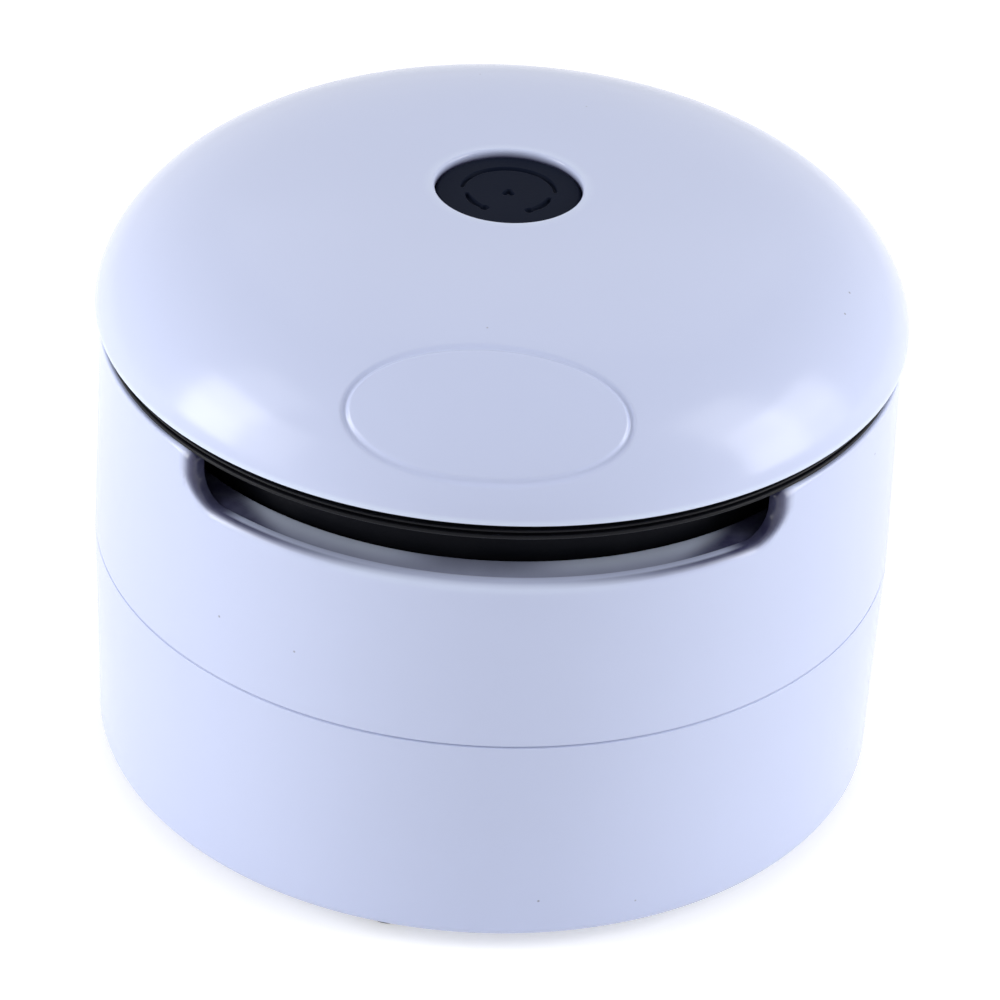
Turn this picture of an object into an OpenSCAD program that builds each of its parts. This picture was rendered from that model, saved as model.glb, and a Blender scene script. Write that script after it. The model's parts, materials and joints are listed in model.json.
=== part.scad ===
// Desktop mini vacuum cleaner: a round two-storey shell with a domed cap,
// a push button on top, a fan over a filter inside, and a twist-off dust cup below.
// Millimetres, +Z up, origin under the middle of the feet, front toward -Y.

/* [Shell] */
// Outer diameter at the seam and at the cap's rim
shell_d = 86; // [86:1:100]
// How much the radius shrinks from the seam to each shell's far edge
draft = 0.5; // [0.2:0.1:0.8]
// Wall of the cup and the cap
wall = 2; // [1.4:0.1:2.2]
// Wall of the upper body at its rim
rim_wall = 1.7; // [1.4:0.1:2]
// Height of the dust cup up to the seam
cup_h = 24.7; // [20:0.5:40]
// Height of the upper body above the seam
upper_h = 24.6; // [24.2:0.2:32]
// Open line between the cup and the upper body
seam_gap = 0.2; // [0.1:0.05:0.4]
// Rounding of the cup's bottom edge
edge_r = 1.2; // [0.5:0.1:1.8]
// Height of the rubber feet
foot_h = 1.8; // [1:0.1:3]
// Diameter of the rubber feet
foot_d = 5; // [3:0.5:7]
// Turn of the first foot away from the front
foot_turn = 12; // [0:1:40]

/* [Cap] */
// Height of the cap from its rim to its top
dome_h = 14.5; // [14.2:0.2:22]
// Roundness of the cap's flat middle, higher is flatter
dome_flat = 4.11; // [3.2:0.1:5]
// Roundness of the cap's shoulder, higher is fuller
dome_full = 1.604; // [1.55:0.05:2.4]
// Straight edge at the cap's rim
cap_edge = 0.4; // [0.2:0.1:0.8]
// Height of the ridged band between the body and the cap
band_h = 2.1; // [1.6:0.1:3]
// Depth of the band behind the shell's edge
band_set = 0.5; // [0.3:0.1:0.8]
// Width of the groove around the bare oval
oval_line = 0.9; // [0.6:0.1:1.4]
// Depth of the groove around the bare oval
oval_cut = 0.35; // [0.2:0.05:0.6]
// Half width of the bare oval
oval_a = 14.2; // [8:0.2:16]
// Half height of the bare oval, along the cap
oval_b = 7.3; // [4:0.1:7.5]

/* [Notch] */
// Half angle of the outlet notch in the upper body's rim
notch_half = 44.3; // [20:0.5:60]
// Depth of the outlet notch
notch_d = 5.2; // [5:0.1:6.5]
// Rounding of the notch's lower corners
notch_r = 3.2; // [1:0.2:4]
// Step from the notch's lip down to the ledge behind it
ledge_drop = 0.15; // [0.1:0.05:0.5]
// Thickness of the ledge behind the notch
ledge_t = 1.5; // [1:0.1:2]
// Width of the ledge behind the notch
ledge_w = 3.1; // [2:0.1:3.2]
// Width of the air slot between the ledge and the tray's drum
slot_w = 0.9; // [0.5:0.1:1]

/* [Button] */
// Diameter of the button
button_d = 15.3; // [14.6:0.1:17]
// Depth of the button's face below the cap's top
button_sink = 0.8; // [0.3:0.1:1.2]
// Travel of the button
button_travel = 1.5; // [0.8:0.1:1.6]
// Thickness of the button's face
button_face = 1.9; // [1.5:0.1:2.2]
// Length of the button's skirt below its face
button_skirt = 3.2; // [2:0.2:4]
// Wall of the button's skirt
button_wall = 1.2; // [0.8:0.1:1.3]
// Depth of the marks in the button's face
mark_cut = 0.25; // [0.15:0.05:0.5]
// Width of the marks in the button's face
mark_w = 0.55; // [0.4:0.05:0.8]

/* [Switch] */
// Side of the square switch body
switch_w = 8; // [7:0.2:8.4]
// Height of the switch body
switch_h = 4.7; // [4.4:0.1:5]
// Diameter of the switch's plunger
plunger_d = 3.2; // [2.6:0.1:3.4]
// Free height of the return spring inside the switch
spring_h = 3; // [2.6:0.1:3.2]
// Length of the circuit board
pcb_l = 42; // [38:1:46]
// Width of the circuit board
pcb_w = 14; // [12:0.5:15]
// Thickness of the circuit board
pcb_t = 1.2; // [0.8:0.1:1.6]

/* [Tray] */
// Thickness of the tray's floor
tray_floor = 1.5; // [1.2:0.1:2]
// Wall of the tray's drum
tray_wall = 1.5; // [1.2:0.1:1.6]
// Height of the collar that centres the cap
centring_h = 1.9; // [1:0.1:2.4]
// Number of air ports low in the tray's drum
port_count = 12; // [6:1:16]
// Height of the air ports
port_h = 4; // [2:0.2:4.4]
// Diameter of the posts that carry the circuit board
post_d = 5; // [4:0.2:6]

/* [Cells] */
// Diameter of an AA cell
cell_d = 14.5; // [13.5:0.1:14.5]
// Length of an AA cell with its nub
cell_l = 50.5; // [49:0.1:50.5]
// Diameter of the cell's nub
nub_d = 5.5; // [4:0.1:6]
// Length of the cell's nub
nub_h = 1; // [0.8:0.1:1.6]
// Height of the cells above the tray's floor
cell_lift = 3; // [2:0.1:3.5]
// Length of a cell spring when it is loaded
cell_spring_l = 4.4; // [3.6:0.1:4.4]
// Thickness of the contact plates
contact_t = 0.4; // [0.3:0.05:0.6]
// Gap between a cell and the motor
cell_motor_gap = 0.8; // [0.4:0.1:0.8]

/* [Motor] */
// Width of the motor can across its round sides
motor_w = 20.1; // [18:0.1:21]
// Width of the motor can across its flat sides
motor_t = 15.1; // [13:0.1:15.1]
// Length of the motor can
can_l = 15; // [13:0.1:15.2]
// Thickness of the motor's end bell
bell_l = 3.5; // [2.5:0.1:3.7]
// Wall of the motor can
can_wall = 0.9; // [0.6:0.1:1]
// Diameter of the motor's shaft
shaft_d = 2; // [1.5:0.1:2.4]

/* [Fan] */
// Diameter of the impeller
fan_d = 52; // [40:1:54]
// Height of the impeller's blades
blade_h = 5; // [3:0.2:5.4]
// Thickness of a blade
blade_t = 1.1; // [0.8:0.1:1.6]
// Number of blades
blade_count = 9; // [6:1:11]
// Thickness of the impeller's disc
fan_disc_t = 1; // [0.8:0.1:1.4]
// Depth of the fan housing below the tray
housing_h = 9.2; // [8.8:0.1:9.4]
// Wall of the fan housing
housing_wall = 1.8; // [1.2:0.1:2]
// Thickness of the flange that bolts the housing to the tray
land_t = 1.5; // [1.2:0.1:2]
// Diameter of the intake hole
intake_d = 26; // [20:1:30]

/* [Filter] */
// Wall of the filter basket
basket_wall = 1.4; // [1:0.1:1.5]
// Thickness of the filter basket's grille and flange
grille_t = 1.3; // [1:0.1:1.6]
// Distance between the bars of the grille
bar_step = 6; // [4:0.5:8]
// Width of the bars of the grille
bar_w = 1.4; // [1:0.1:2]
// Thickness of the filter mesh
mesh_t = 0.6; // [0.4:0.1:0.7]
// Thickness of the rubber seal ring
seal_t = 2; // [1.4:0.1:2.4]

/* [Thread] */
// Height of the cup's collar above the seam
collar_h = 5; // [4.6:0.1:6.5]
// Wall of the cup's collar
collar_wall = 1.8; // [1.2:0.1:2]
// Drop of the cup in one full turn
thread_lead = 30; // [24:1:32]
// Number of lugs on the collar
lug_count = 3; // [2:1:3]
// Radial reach of the ribs inside the upper body
rib_reach = 1.5; // [1:0.1:1.6]
// Thickness of the lugs and ribs
lug_t = 1.2; // [0.8:0.1:1.4]

/* [Inlet] */
// Bore of the inlet duct
duct_bore = 22; // [16:1:24]
// Wall of the inlet duct
duct_wall = 1.6; // [1.2:0.1:2]
// Height of the inlet duct above the cup's floor
duct_h = 12; // [8:0.5:12.5]
// Gap under the hood of the inlet duct
hood_gap = 3; // [2:0.2:3.4]
// Width of the windows under the hood
hood_window = 12; // [8:0.5:14]
// Inner radius of the brush channel
brush_r = 20; // [18:0.5:24]
// Width of the brush channel
brush_w = 6; // [4:0.2:7]
// Depth of the brush channel
brush_h = 4.5; // [3.5:0.1:5]

/* [Clearances] */
// Radial gap between pieces that move past each other
fit_gap = 0.3; // [0.2:0.05:0.35]
// Radial gap around the button
button_gap = 0.1; // [0.05:0.01:0.2]
// Radial gap around the turning shaft
run_gap = 0.04; // [0.02:0.01:0.08]
// Radial gap of pieces pressed together
press_gap = 0.02; // [0.01:0.01:0.04]
// Gap between flat faces that part
face_gap = 0.1; // [0.05:0.01:0.15]

/* [Hidden] */
$fn = 96;
cut = 1; // how far a cutting shape runs past a face
root = 0.3; // how far a joined detail runs into its carrier

WHITE = [0.80, 0.83, 0.90];
BLACK = [0.15, 0.16, 0.19];
RUBBER = [0.09, 0.09, 0.10];
STEEL = [0.72, 0.73, 0.75];
BRASS = [0.80, 0.66, 0.36];
BOARD = [0.16, 0.38, 0.25];

// Heights, from the table up
shell_r = shell_d / 2;
z_cup = foot_h;
z_seam = z_cup + cup_h;
z_rim = z_seam + upper_h;
z_cap = z_rim + band_h;
z_top = z_cap + dome_h;
z_collar = z_seam + collar_h;
z_basket = z_collar + face_gap;
z_seal = z_basket + grille_t;
z_land = z_seal + seal_t + face_gap;
z_tray = z_land + land_t;
z_deck = z_tray + tray_floor;
z_ledge = z_rim - notch_d;

// Radii, from the shell inward
body_in_r = shell_r - draft - rim_wall;
ledge_r = body_in_r - ledge_w;
drum_r = ledge_r - slot_w;
drum_in_r = drum_r - tray_wall;
band_r = shell_r - draft - band_set;
rib_r = body_in_r - rib_reach;
collar_r = rib_r - fit_gap;
collar_in_r = collar_r - collar_wall;
lug_r = body_in_r - 2 * fit_gap;
basket_r = collar_in_r - 1;
basket_in_r = basket_r - basket_wall;
grille_r = basket_in_r - 1.5;
housing_r = basket_in_r - 2 * fit_gap;
housing_in_r = housing_r - housing_wall;
land_r = collar_r - fit_gap;
screw_r = 0.8;
screw_head_r = 1.1;
pcb_screw_l = 4;
screw_boss_h = 4.5;
screw_ring_r = housing_r + screw_head_r + 0.1;

// Button, switch and board, hung from the cap's top
z_button = z_top - button_sink;
z_button_in = z_button - button_face;
press_spare = 0.5;
z_board = z_button_in - button_travel - press_spare - switch_h;
button_r = button_d / 2;
bore_r = button_r + button_gap;
plunger_r = plunger_d / 2;
spring_r = plunger_r + 0.9;
switch_floor = 0.6;
shoulder_t = 0.6;
z_spring = z_board + switch_floor;
socket_h = press_spare - face_gap;
post_x = pcb_l / 2 - 4;

// Cells and their end walls
motor_r = motor_w / 2;
terminal_x = 0.7 * motor_r;
cell_r = cell_d / 2;
cell_y = motor_t / 2 + cell_motor_gap + cell_r;
cell_z = z_deck + cell_lift + cell_r;
bay_half = (cell_l + cell_spring_l + 2 * contact_t + 2 * press_gap) / 2;
end_wall_t = 1.5;
end_wall_w = 12;
contact_w = 9;

// Fan and housing
shaft_r = shaft_d / 2;
z_housing = z_tray - housing_h;
housing_floor = 1.4;
fan_top_gap = 1;
z_fan_top = z_tray - fan_top_gap;
z_blades = z_fan_top - fan_disc_t - blade_h;
fan_r = fan_d / 2;
hub_r = 4;
intake_r = intake_d / 2;

// Filter basket
z_mesh = z_housing - fit_gap - mesh_t;
z_grille = z_mesh - grille_t;

// Helix of the thread, taken as a tilted plane over each short rib
rib_tilt = atan(thread_lead / (2 * PI * rib_r));
rib_from = -20;
rib_to = 26;
lug_at = 18;
lug_half = 5;
lug_lift = 0.3;
z_rib = z_collar - lug_t - lug_lift - thread_lead * lug_at / 360 - 0.45;

// Inlet and brush
duct_r = duct_bore / 2 + duct_wall;
backing_t = 1.5;
z_bristle_top = z_cup + brush_h - backing_t;
z_duct = z_cup + wall + duct_h;
hood_t = 1.4;
foot_ring_r = shell_r - draft - foot_d / 2 - 2.5;

// ---- plain building shapes ----

module ring(r_out, r_in, z_low, z_high) {
    translate([0, 0, z_low])
        difference() {
            cylinder(r = r_out, h = z_high - z_low);
            translate([0, 0, -cut])
                cylinder(r = r_in, h = z_high - z_low + 2 * cut);
        }
}

module disc(r, z_low, z_high) {
    translate([0, 0, z_low])
        cylinder(r = r, h = z_high - z_low);
}

module block(x, y, z_low, z_high) {
    translate([0, 0, (z_low + z_high) / 2])
        cube([x, y, z_high - z_low], center = true);
}

// Wedge between two angles, wide enough to cover the whole object
module pie(from, to, z_low, z_high) {
    steps = ceil((to - from) / 30);
    reach = 2 * shell_r;
    rays = [for (i = [0:steps]) from + (to - from) * i / steps];
    translate([0, 0, z_low])
        linear_extrude(z_high - z_low)
            polygon(concat([[0, 0]], [for (a = rays) [reach * cos(a), reach * sin(a)]]));
}

module ring_part(r_out, r_in, z_low, z_high, from, to) {
    intersection() {
        ring(r_out, r_in, z_low, z_high);
        pie(from, to, z_low - cut, z_high + cut);
    }
}

// Flat slab that climbs as the thread does, level with z at angle 0
module ramp(z_top_face, thick) {
    translate([rib_r, 0, z_top_face])
        rotate([rib_tilt, 0, 0])
            translate([-shell_r / 2, -shell_r, -thick])
                cube([shell_r, shell_d, thick]);
}

// ---- cap ----

// Points of the dome's outline from the rim to the axis
function dome_points(r, z, h, steps) = [
    for (i = [0:steps])
        let (t = 90 * (1 - i / steps))
            [r * pow(sin(t), 2 / dome_flat), z + h * pow(cos(t), 2 / dome_full)]
];

module dome(inset) {
    r = shell_r - inset;
    rise = dome_h - cap_edge - inset;
    z_edge = z_cap + cap_edge;
    rotate_extrude()
        polygon(concat([[0, z_cap - cut], [r, z_cap - cut]], dome_points(r, z_edge, rise, 22)));
}

oval_tilt = 35;
oval_y = -35.7 / 43 * shell_r;
oval_z = z_cap + 8.3 / 14.5 * dome_h;

function oval_points(grow) = [
    for (a = [0:5:355]) [(oval_a + grow) * cos(a), (oval_b + grow) * sin(a)]
];

module oval_column(grow) {
    translate([0, oval_y, oval_z])
        rotate([oval_tilt, 0, 0])
            linear_extrude(2 * dome_h, center = true)
                polygon(oval_points(grow));
}

module oval_groove() {
    intersection() {
        difference() {
            oval_column(oval_line / 2);
            oval_column(-oval_line / 2);
        }
        difference() {
            dome(-cut);
            dome(oval_cut);
        }
    }
}

module top_cap() {
    guide_r = bore_r + 1.5;
    color(WHITE)
        difference() {
            union() {
                difference() {
                    dome(0);
                    dome(wall);
                    disc(2 * shell_r, z_cap - 2 * cut, z_cap);
                }
                disc(guide_r, z_button_in - button_skirt, z_top - wall / 2);
            }
            disc(bore_r, z_board, z_top + cut);
            oval_groove();
        }
}

// ---- button and switch ----

module mark_arc(r, from, to, z_low) {
    ring_part(r + mark_w / 2, r - mark_w / 2, z_low, z_button + cut, from, to);
}

module mark_dot(r, at, z_low) {
    rotate([0, 0, at])
        translate([r, 0, z_low])
            cylinder(r = mark_w * 0.7, h = mark_cut + cut, $fn = 24);
}

module button_marks() {
    z_low = z_button - mark_cut;
    back_r = 4.9;
    front_r = 4.4;
    mark_arc(back_r, 6, 174, z_low);
    for (side = [-1, 1]) {
        mark_arc(front_r, 270 + side * 45 - 20, 270 + side * 45 + 20, z_low);
        mark_dot(front_r, 270 + side * 25, z_low);
    }
    translate([0, 0, z_low])
        rotate([0, 0, 90])
            cylinder(r = 1, h = mark_cut + cut, $fn = 3);
}

module power_button() {
    skirt_in_r = button_r - button_wall;
    socket_r = plunger_r + 1;
    color(BLACK)
        difference() {
            union() {
                disc(button_r, z_button_in, z_button);
                ring(button_r, skirt_in_r, z_button_in - button_skirt, z_button_in);
                disc(socket_r, z_button_in - socket_h, z_button_in);
            }
            disc(plunger_r + press_gap, z_button_in - socket_h - cut, z_button_in);
            button_marks();
        }
}

module switch_plunger() {
    z_shoulder = z_spring + spring_h;
    color(STEEL) {
        disc(plunger_r, z_shoulder, z_button_in);
        disc(spring_r - press_gap, z_shoulder, z_shoulder + shoulder_t);
    }
}

module switch_spring() {
    color(STEEL)
        ring(spring_r - 0.1, spring_r - 0.5, z_spring, z_spring + spring_h);
}

module switch_body() {
    bore = spring_r + fit_gap;
    color(BLACK)
        difference() {
            block(switch_w, switch_w, z_board, z_board + switch_h);
            disc(bore, z_spring, z_spring + spring_h + shoulder_t + face_gap);
            disc(plunger_r + button_gap, z_spring, z_board + switch_h + cut);
        }
}

module switch_pcb() {
    color(BOARD)
        difference() {
            union() {
                block(pcb_l - pcb_w, pcb_w, z_board - pcb_t, z_board);
                for (side = [-1, 1])
                    translate([side * (pcb_l - pcb_w) / 2, 0, 0])
                        disc(pcb_w / 2, z_board - pcb_t, z_board);
            }
            for (side = [-1, 1]) {
                translate([side * post_x, 0, 0])
                    disc(screw_r + fit_gap, z_board - pcb_t - cut, z_board + cut);
                translate([side * terminal_x, 0, 0])
                    block(1.2, 2.8, z_board - pcb_t - cut, z_board + cut);
            }
        }
}

module pcb_screws() {
    head_r = 2;
    head_h = 1.2;
    cross_l = 2.4;
    cross_w = 0.5;
    z_cross = z_board + head_h - cross_w;
    color(STEEL)
        for (side = [-1, 1])
            translate([side * post_x, 0, 0])
                difference() {
                    union() {
                        disc(head_r, z_board, z_board + head_h);
                        disc(screw_r, z_board - pcb_t - pcb_screw_l, z_board);
                    }
                    block(cross_l, cross_w, z_cross, z_board + head_h + cut);
                    block(cross_w, cross_l, z_cross, z_board + head_h + cut);
                }
}

// ---- battery tray ----

module tray_flange() {
    top = z_cap - face_gap;
    pitch = (top - z_rim) / 3;
    groove = 0.35;
    difference() {
        ring(band_r, drum_in_r, z_rim, top);
        for (i = [1, 2])
            translate([0, 0, z_rim + i * pitch])
                ring(band_r + cut, band_r - groove, -groove / 2, groove / 2);
    }
    ring(body_in_r - 0.8, body_in_r - 0.8 - tray_wall, top - root, top + centring_h);
}

module cell_cradle() {
    saddle_h = cell_lift + 3;
    difference() {
        for (x = [-14, 14])
            translate([x, cell_y, 0])
                block(2.4, end_wall_w, z_deck - root, z_deck + saddle_h);
        translate([0, cell_y, cell_z])
            rotate([0, 90, 0])
                cylinder(r = cell_r + face_gap, h = 2 * bay_half, center = true);
    }
    for (side = [-1, 1])
        translate([side * (bay_half + end_wall_t / 2), cell_y, 0])
            block(end_wall_t, end_wall_w, z_deck - root, cell_z + 4);
}

module motor_pocket() {
    lip = 1.5;
    lip_h = 4.5;
    difference() {
        block(motor_w + 2 * lip, motor_t + 2 * lip, z_deck - root, z_deck + lip_h);
        block(motor_w + 2 * face_gap, motor_t + 2 * face_gap, z_deck, z_deck + lip_h + cut);
    }
}

module tray_vents() {
    vent_r = housing_in_r - 0.8;
    for (a = [0:30:330])
        ring_part(vent_r, vent_r - 4, z_tray - cut, z_deck + cut, a + 5, a + 25);
}

module drum_ports() {
    z_port = z_deck + 0.6;
    for (i = [0:port_count - 1])
        rotate([0, 0, (i + 0.5) * 360 / port_count])
            translate([drum_r - tray_wall / 2, 0, 0])
                block(2 * tray_wall + cut, 5, z_port, z_port + port_h);
}

screw_turns = [90, 210, 330];

module battery_tray() {
    boss_r = 2;
    color(BLACK)
        difference() {
            union() {
                difference() {
                    union() {
                        disc(drum_r, z_tray, z_deck);
                        ring(drum_r, drum_in_r, z_tray, z_rim + root);
                    }
                    tray_vents();
                    drum_ports();
                }
                tray_flange();
                intersection() {
                    for (turn = [0, 180])
                        rotate([0, 0, turn])
                            cell_cradle();
                    disc(drum_r - press_gap, z_tray, z_cap);
                }
                motor_pocket();
                for (side = [-1, 1])
                    translate([side * post_x, 0, 0])
                        disc(post_d / 2, z_deck - root, z_board - pcb_t);
                for (a = screw_turns)
                    rotate([0, 0, a])
                        translate([screw_ring_r, 0, 0])
                            disc(boss_r, z_tray, z_tray + screw_boss_h);
            }
            disc(motor_boss_r + face_gap, z_tray - cut, z_deck + cut);
            for (side = [-1, 1])
                translate([side * post_x, 0, 0])
                    disc(screw_r + press_gap, z_board - pcb_t - pcb_screw_l - 2 * face_gap, z_board);
            for (a = screw_turns)
                rotate([0, 0, a])
                    translate([screw_ring_r, 0, 0])
                        disc(screw_r + press_gap, z_tray - cut, z_tray + 0.9 * screw_boss_h);
        }
}

// ---- cells and their contacts, drawn for the front bay and turned for the back one ----

module along_bay(x) {
    translate([x, -cell_y, cell_z])
        rotate([0, 90, 0])
            children();
}

module cell() {
    x_end = bay_half - contact_t - press_gap - cell_l;
    along_bay(x_end)
        cylinder(r = cell_r, h = cell_l - nub_h);
    along_bay(x_end + cell_l - nub_h - root)
        cylinder(r = nub_d / 2, h = nub_h + root);
}

module battery_front() {
    color("darkslategray")
        cell();
}

module battery_back() {
    color("darkslategray")
        rotate([0, 0, 180])
            cell();
}

module contact_plate(x) {
    translate([x + contact_t / 2, -cell_y, 0])
        block(contact_t, contact_w, cell_z - contact_w / 2, cell_z + contact_w / 2);
}

// Keeps the contacts off the inside of the tray's drum
module inside_drum() {
    intersection() {
        children();
        disc(drum_in_r - face_gap, z_deck + face_gap, z_cap);
    }
}

module cell_spring() {
    wire = 0.8;
    foot_r = 3.6;
    tip_r = 2.6;
    difference() {
        along_bay(-bay_half + contact_t)
            cylinder(r1 = foot_r, r2 = tip_r, h = cell_spring_l);
        along_bay(-bay_half + contact_t)
            cylinder(r1 = foot_r - wire, r2 = tip_r - wire, h = cell_spring_l);
    }
    contact_plate(-bay_half);
}

module spring_contacts() {
    color(STEEL)
        for (turn = [0, 180])
            rotate([0, 0, turn])
                inside_drum()
                    cell_spring();
}

module plate_contacts() {
    color(STEEL)
        for (turn = [0, 180])
            rotate([0, 0, turn])
                inside_drum()
                    contact_plate(bay_half - contact_t);
}

// ---- motor ----

bell_gap = 0.2;
motor_boss_r = 3;
motor_boss_h = 1.2;
z_bell = z_deck + can_l;

module flat_sided(inset, z_low, z_high) {
    intersection() {
        disc(motor_r - inset, z_low, z_high);
        block(motor_w, motor_t - 2 * inset, z_low, z_high);
    }
}

module motor_can() {
    color(STEEL)
        difference() {
            union() {
                flat_sided(0, z_deck, z_bell);
                disc(motor_boss_r, z_deck - motor_boss_h, z_deck + root);
            }
            flat_sided(can_wall, z_deck + can_wall, z_bell + cut);
            disc(shaft_r + 1, z_deck - 2 * cut, z_deck + can_wall + cut);
        }
}

module motor_bushing() {
    rise = 1.4;
    color(BRASS)
        ring(shaft_r + 1 - press_gap, shaft_r + run_gap, z_deck - motor_boss_h, z_deck + rise);
}

magnet_in_r = 6.6;

module motor_magnets() {
    magnet_r = motor_r - can_wall - press_gap;
    end_gap = 2.5;
    color(RUBBER)
        for (turn = [0, 180])
            ring_part(magnet_r, magnet_in_r, z_deck + end_gap, z_bell - end_gap, turn - 40, turn + 40);
}

module motor_end_bell() {
    color("whitesmoke")
        difference() {
            flat_sided(0, z_bell, z_bell + bell_l);
            disc(shaft_r + run_gap, z_bell - cut, z_bell + bell_l - 0.7);
        }
}

module motor_terminals() {
    tab_w = 2;
    tab_t = 0.5;
    rise = 0.8;
    color(BRASS)
        for (side = [-1, 1])
            translate([side * terminal_x, 0, 0])
                block(tab_t, tab_w, z_bell + bell_l, z_board + rise);
}

module motor_shaft() {
    color(STEEL)
        disc(shaft_r, z_blades + 0.5, z_bell + bell_l - 0.9);
}

module armature() {
    core_r = magnet_in_r - 0.4;
    z_core = z_deck + 3.5;
    color("peru")
        difference() {
            union() {
                disc(core_r, z_core, z_bell - 4);
                disc(2.2, z_core, z_bell - bell_gap);
            }
            for (a = [0, 120, 240])
                rotate([0, 0, a])
                    translate([core_r, 0, 0])
                        block(5, 1.2, z_core - cut, z_bell);
            disc(shaft_r + press_gap, z_core - cut, z_bell);
        }
}

// ---- fan ----

module blade() {
    bend_r = fan_r * 0.62;
    tip_gap = 0.6;
    intersection() {
        translate([0, bend_r, 0])
            ring(bend_r + blade_t / 2, bend_r - blade_t / 2, z_blades, z_fan_top - fan_disc_t + root);
        ring_part(fan_r - tip_gap, hub_r + 3, z_blades - cut, z_fan_top, 2, 88);
    }
}

module impeller() {
    color("dimgray")
        difference() {
            union() {
                disc(fan_r, z_fan_top - fan_disc_t, z_fan_top);
                disc(hub_r, z_blades + 0.5, z_fan_top);
                for (i = [0:blade_count - 1])
                    rotate([0, 0, i * 360 / blade_count])
                        blade();
            }
            disc(shaft_r + press_gap, z_blades - cut, z_fan_top + cut);
        }
}

module fan_housing() {
    color(BLACK)
        difference() {
            union() {
                disc(housing_r, z_housing, z_land + root);
                disc(land_r, z_land, z_tray);
            }
            disc(housing_in_r, z_housing + housing_floor, z_tray + cut);
            disc(intake_r, z_housing - cut, z_tray);
            for (a = screw_turns)
                rotate([0, 0, a])
                    translate([screw_ring_r, 0, 0])
                        disc(screw_r + press_gap, z_land - cut, z_tray + cut);
        }
}

module intake_grille() {
    rim = 1.6;
    top = z_housing + housing_floor;
    outer = intake_r - press_gap;
    color(BLACK) {
        ring(outer, outer - rim, z_housing, top);
        ring(intake_r * 0.58 + rim / 2, intake_r * 0.58 - rim / 2, z_housing, top);
        disc(2.5, z_housing, top);
        for (a = [0, 60, 120])
            rotate([0, 0, a])
                block(2 * outer - rim, 1.2, z_housing, top);
    }
}

module housing_screws() {
    head_h = 0.9;
    color(STEEL)
        for (a = screw_turns)
            rotate([0, 0, a])
                translate([screw_ring_r, 0, 0]) {
                    disc(screw_head_r, z_land - head_h, z_land);
                    disc(screw_r, z_land, z_tray + 0.85 * screw_boss_h);
                }
}

// ---- upper body ----

module thread_rib() {
    intersection() {
        ring_part(body_in_r + root, rib_r, z_seam + seam_gap, z_collar + lug_t, rib_from, rib_to);
        ramp(z_rib, lug_t);
    }
}

// What is left standing in the notch's lower corner, run straight in along a radius
module notch_corner(side) {
    under = notch_r + cut / 10;
    outer = notch_r + cut;
    corner = [for (a = [-75:15:0]) [side * notch_r * cos(a), notch_r * sin(a)]];
    translate([body_in_r - cut, 0, z_ledge + notch_r])
        rotate([90, 0, 90])
            linear_extrude(rim_wall + draft + 2 * cut)
                polygon(concat([[-side * cut / 3, -under]], corner, [[side * outer, 0], [side * outer, -under]]));
}

module notch_cut() {
    front = 270;
    straight = notch_half - asin(notch_r / shell_r);
    difference() {
        pie(front - notch_half, front + notch_half, z_ledge, z_rim + cut);
        for (side = [-1, 1])
            rotate([0, 0, front + side * straight])
                notch_corner(side);
    }
}

module upper_body() {
    z_low = z_seam + seam_gap / 2;
    color(WHITE) {
        difference() {
            translate([0, 0, z_low])
                cylinder(r1 = shell_r, r2 = shell_r - draft, h = z_rim - z_low);
            disc(body_in_r, z_low - cut, z_rim + cut);
            notch_cut();
        }
        ring(body_in_r + root, ledge_r, z_ledge - ledge_drop - ledge_t, z_ledge - ledge_drop);
        for (i = [0:lug_count - 1])
            rotate([0, 0, i * 360 / lug_count])
                thread_rib();
    }
}

// ---- filter ----

module filter_frame() {
    color(BLACK) {
        ring(land_r, basket_in_r, z_basket, z_seal);
        ring(basket_r, basket_in_r, z_grille, z_basket + root);
        ring(basket_r, grille_r, z_grille, z_mesh);
    }
}

module filter_grille() {
    outer = grille_r - press_gap;
    color(BLACK) {
        ring(outer, outer - bar_w, z_grille, z_mesh);
        intersection() {
            disc(outer - bar_w / 2, z_grille, z_mesh);
            union() {
                for (x = [0:bar_step:outer - bar_w])
                    for (side = [-1, 1])
                        translate([side * x, 0, 0])
                            block(bar_w, 2 * outer, z_grille, z_mesh);
                block(2 * outer, 2 * bar_w, z_grille, z_mesh);
            }
        }
    }
}

module filter_mesh() {
    color("lightgray")
        disc(basket_in_r - face_gap, z_mesh, z_mesh + mesh_t);
}

module seal_ring() {
    color(RUBBER)
        ring(land_r - face_gap, screw_ring_r + screw_head_r + 0.2, z_seal, z_seal + seal_t);
}

// ---- dust cup ----

function edge_points(r, z) = [
    for (a = [0:15:90]) [r - edge_r + edge_r * sin(a), z + edge_r - edge_r * cos(a)]
];

module cup_shell() {
    low_r = shell_r - draft;
    top = z_seam - seam_gap / 2;
    rotate_extrude()
        polygon(concat(
            [[0, z_cup]],
            edge_points(low_r, z_cup),
            [[shell_r, top], [collar_in_r, top], [collar_in_r, top - wall]],
            [[shell_r - wall, top - wall], [low_r - wall, z_cup + wall], [0, z_cup + wall]]
        ));
}

module lug() {
    rotate([0, 0, lug_at])
        intersection() {
            ring_part(lug_r, collar_r - root, z_seam, z_collar, -lug_half, lug_half);
            ramp(z_rib + lug_lift + lug_t + thread_lead * lug_at / 360, lug_t);
        }
}

module dust_cup() {
    channel_out = brush_r + brush_w;
    skin = 1.5;
    color(WHITE)
        difference() {
            union() {
                cup_shell();
                ring(collar_r, collar_in_r, z_seam - wall, z_collar);
                for (i = [0:lug_count - 1])
                    rotate([0, 0, i * 360 / lug_count])
                        lug();
                ring(channel_out + skin, brush_r - skin, z_cup, z_cup + brush_h + skin);
            }
            ring(channel_out, brush_r, z_cup - cut, z_cup + brush_h);
            disc(duct_r + press_gap, z_cup - cut, z_cup + wall + cut);
        }
}

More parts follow.
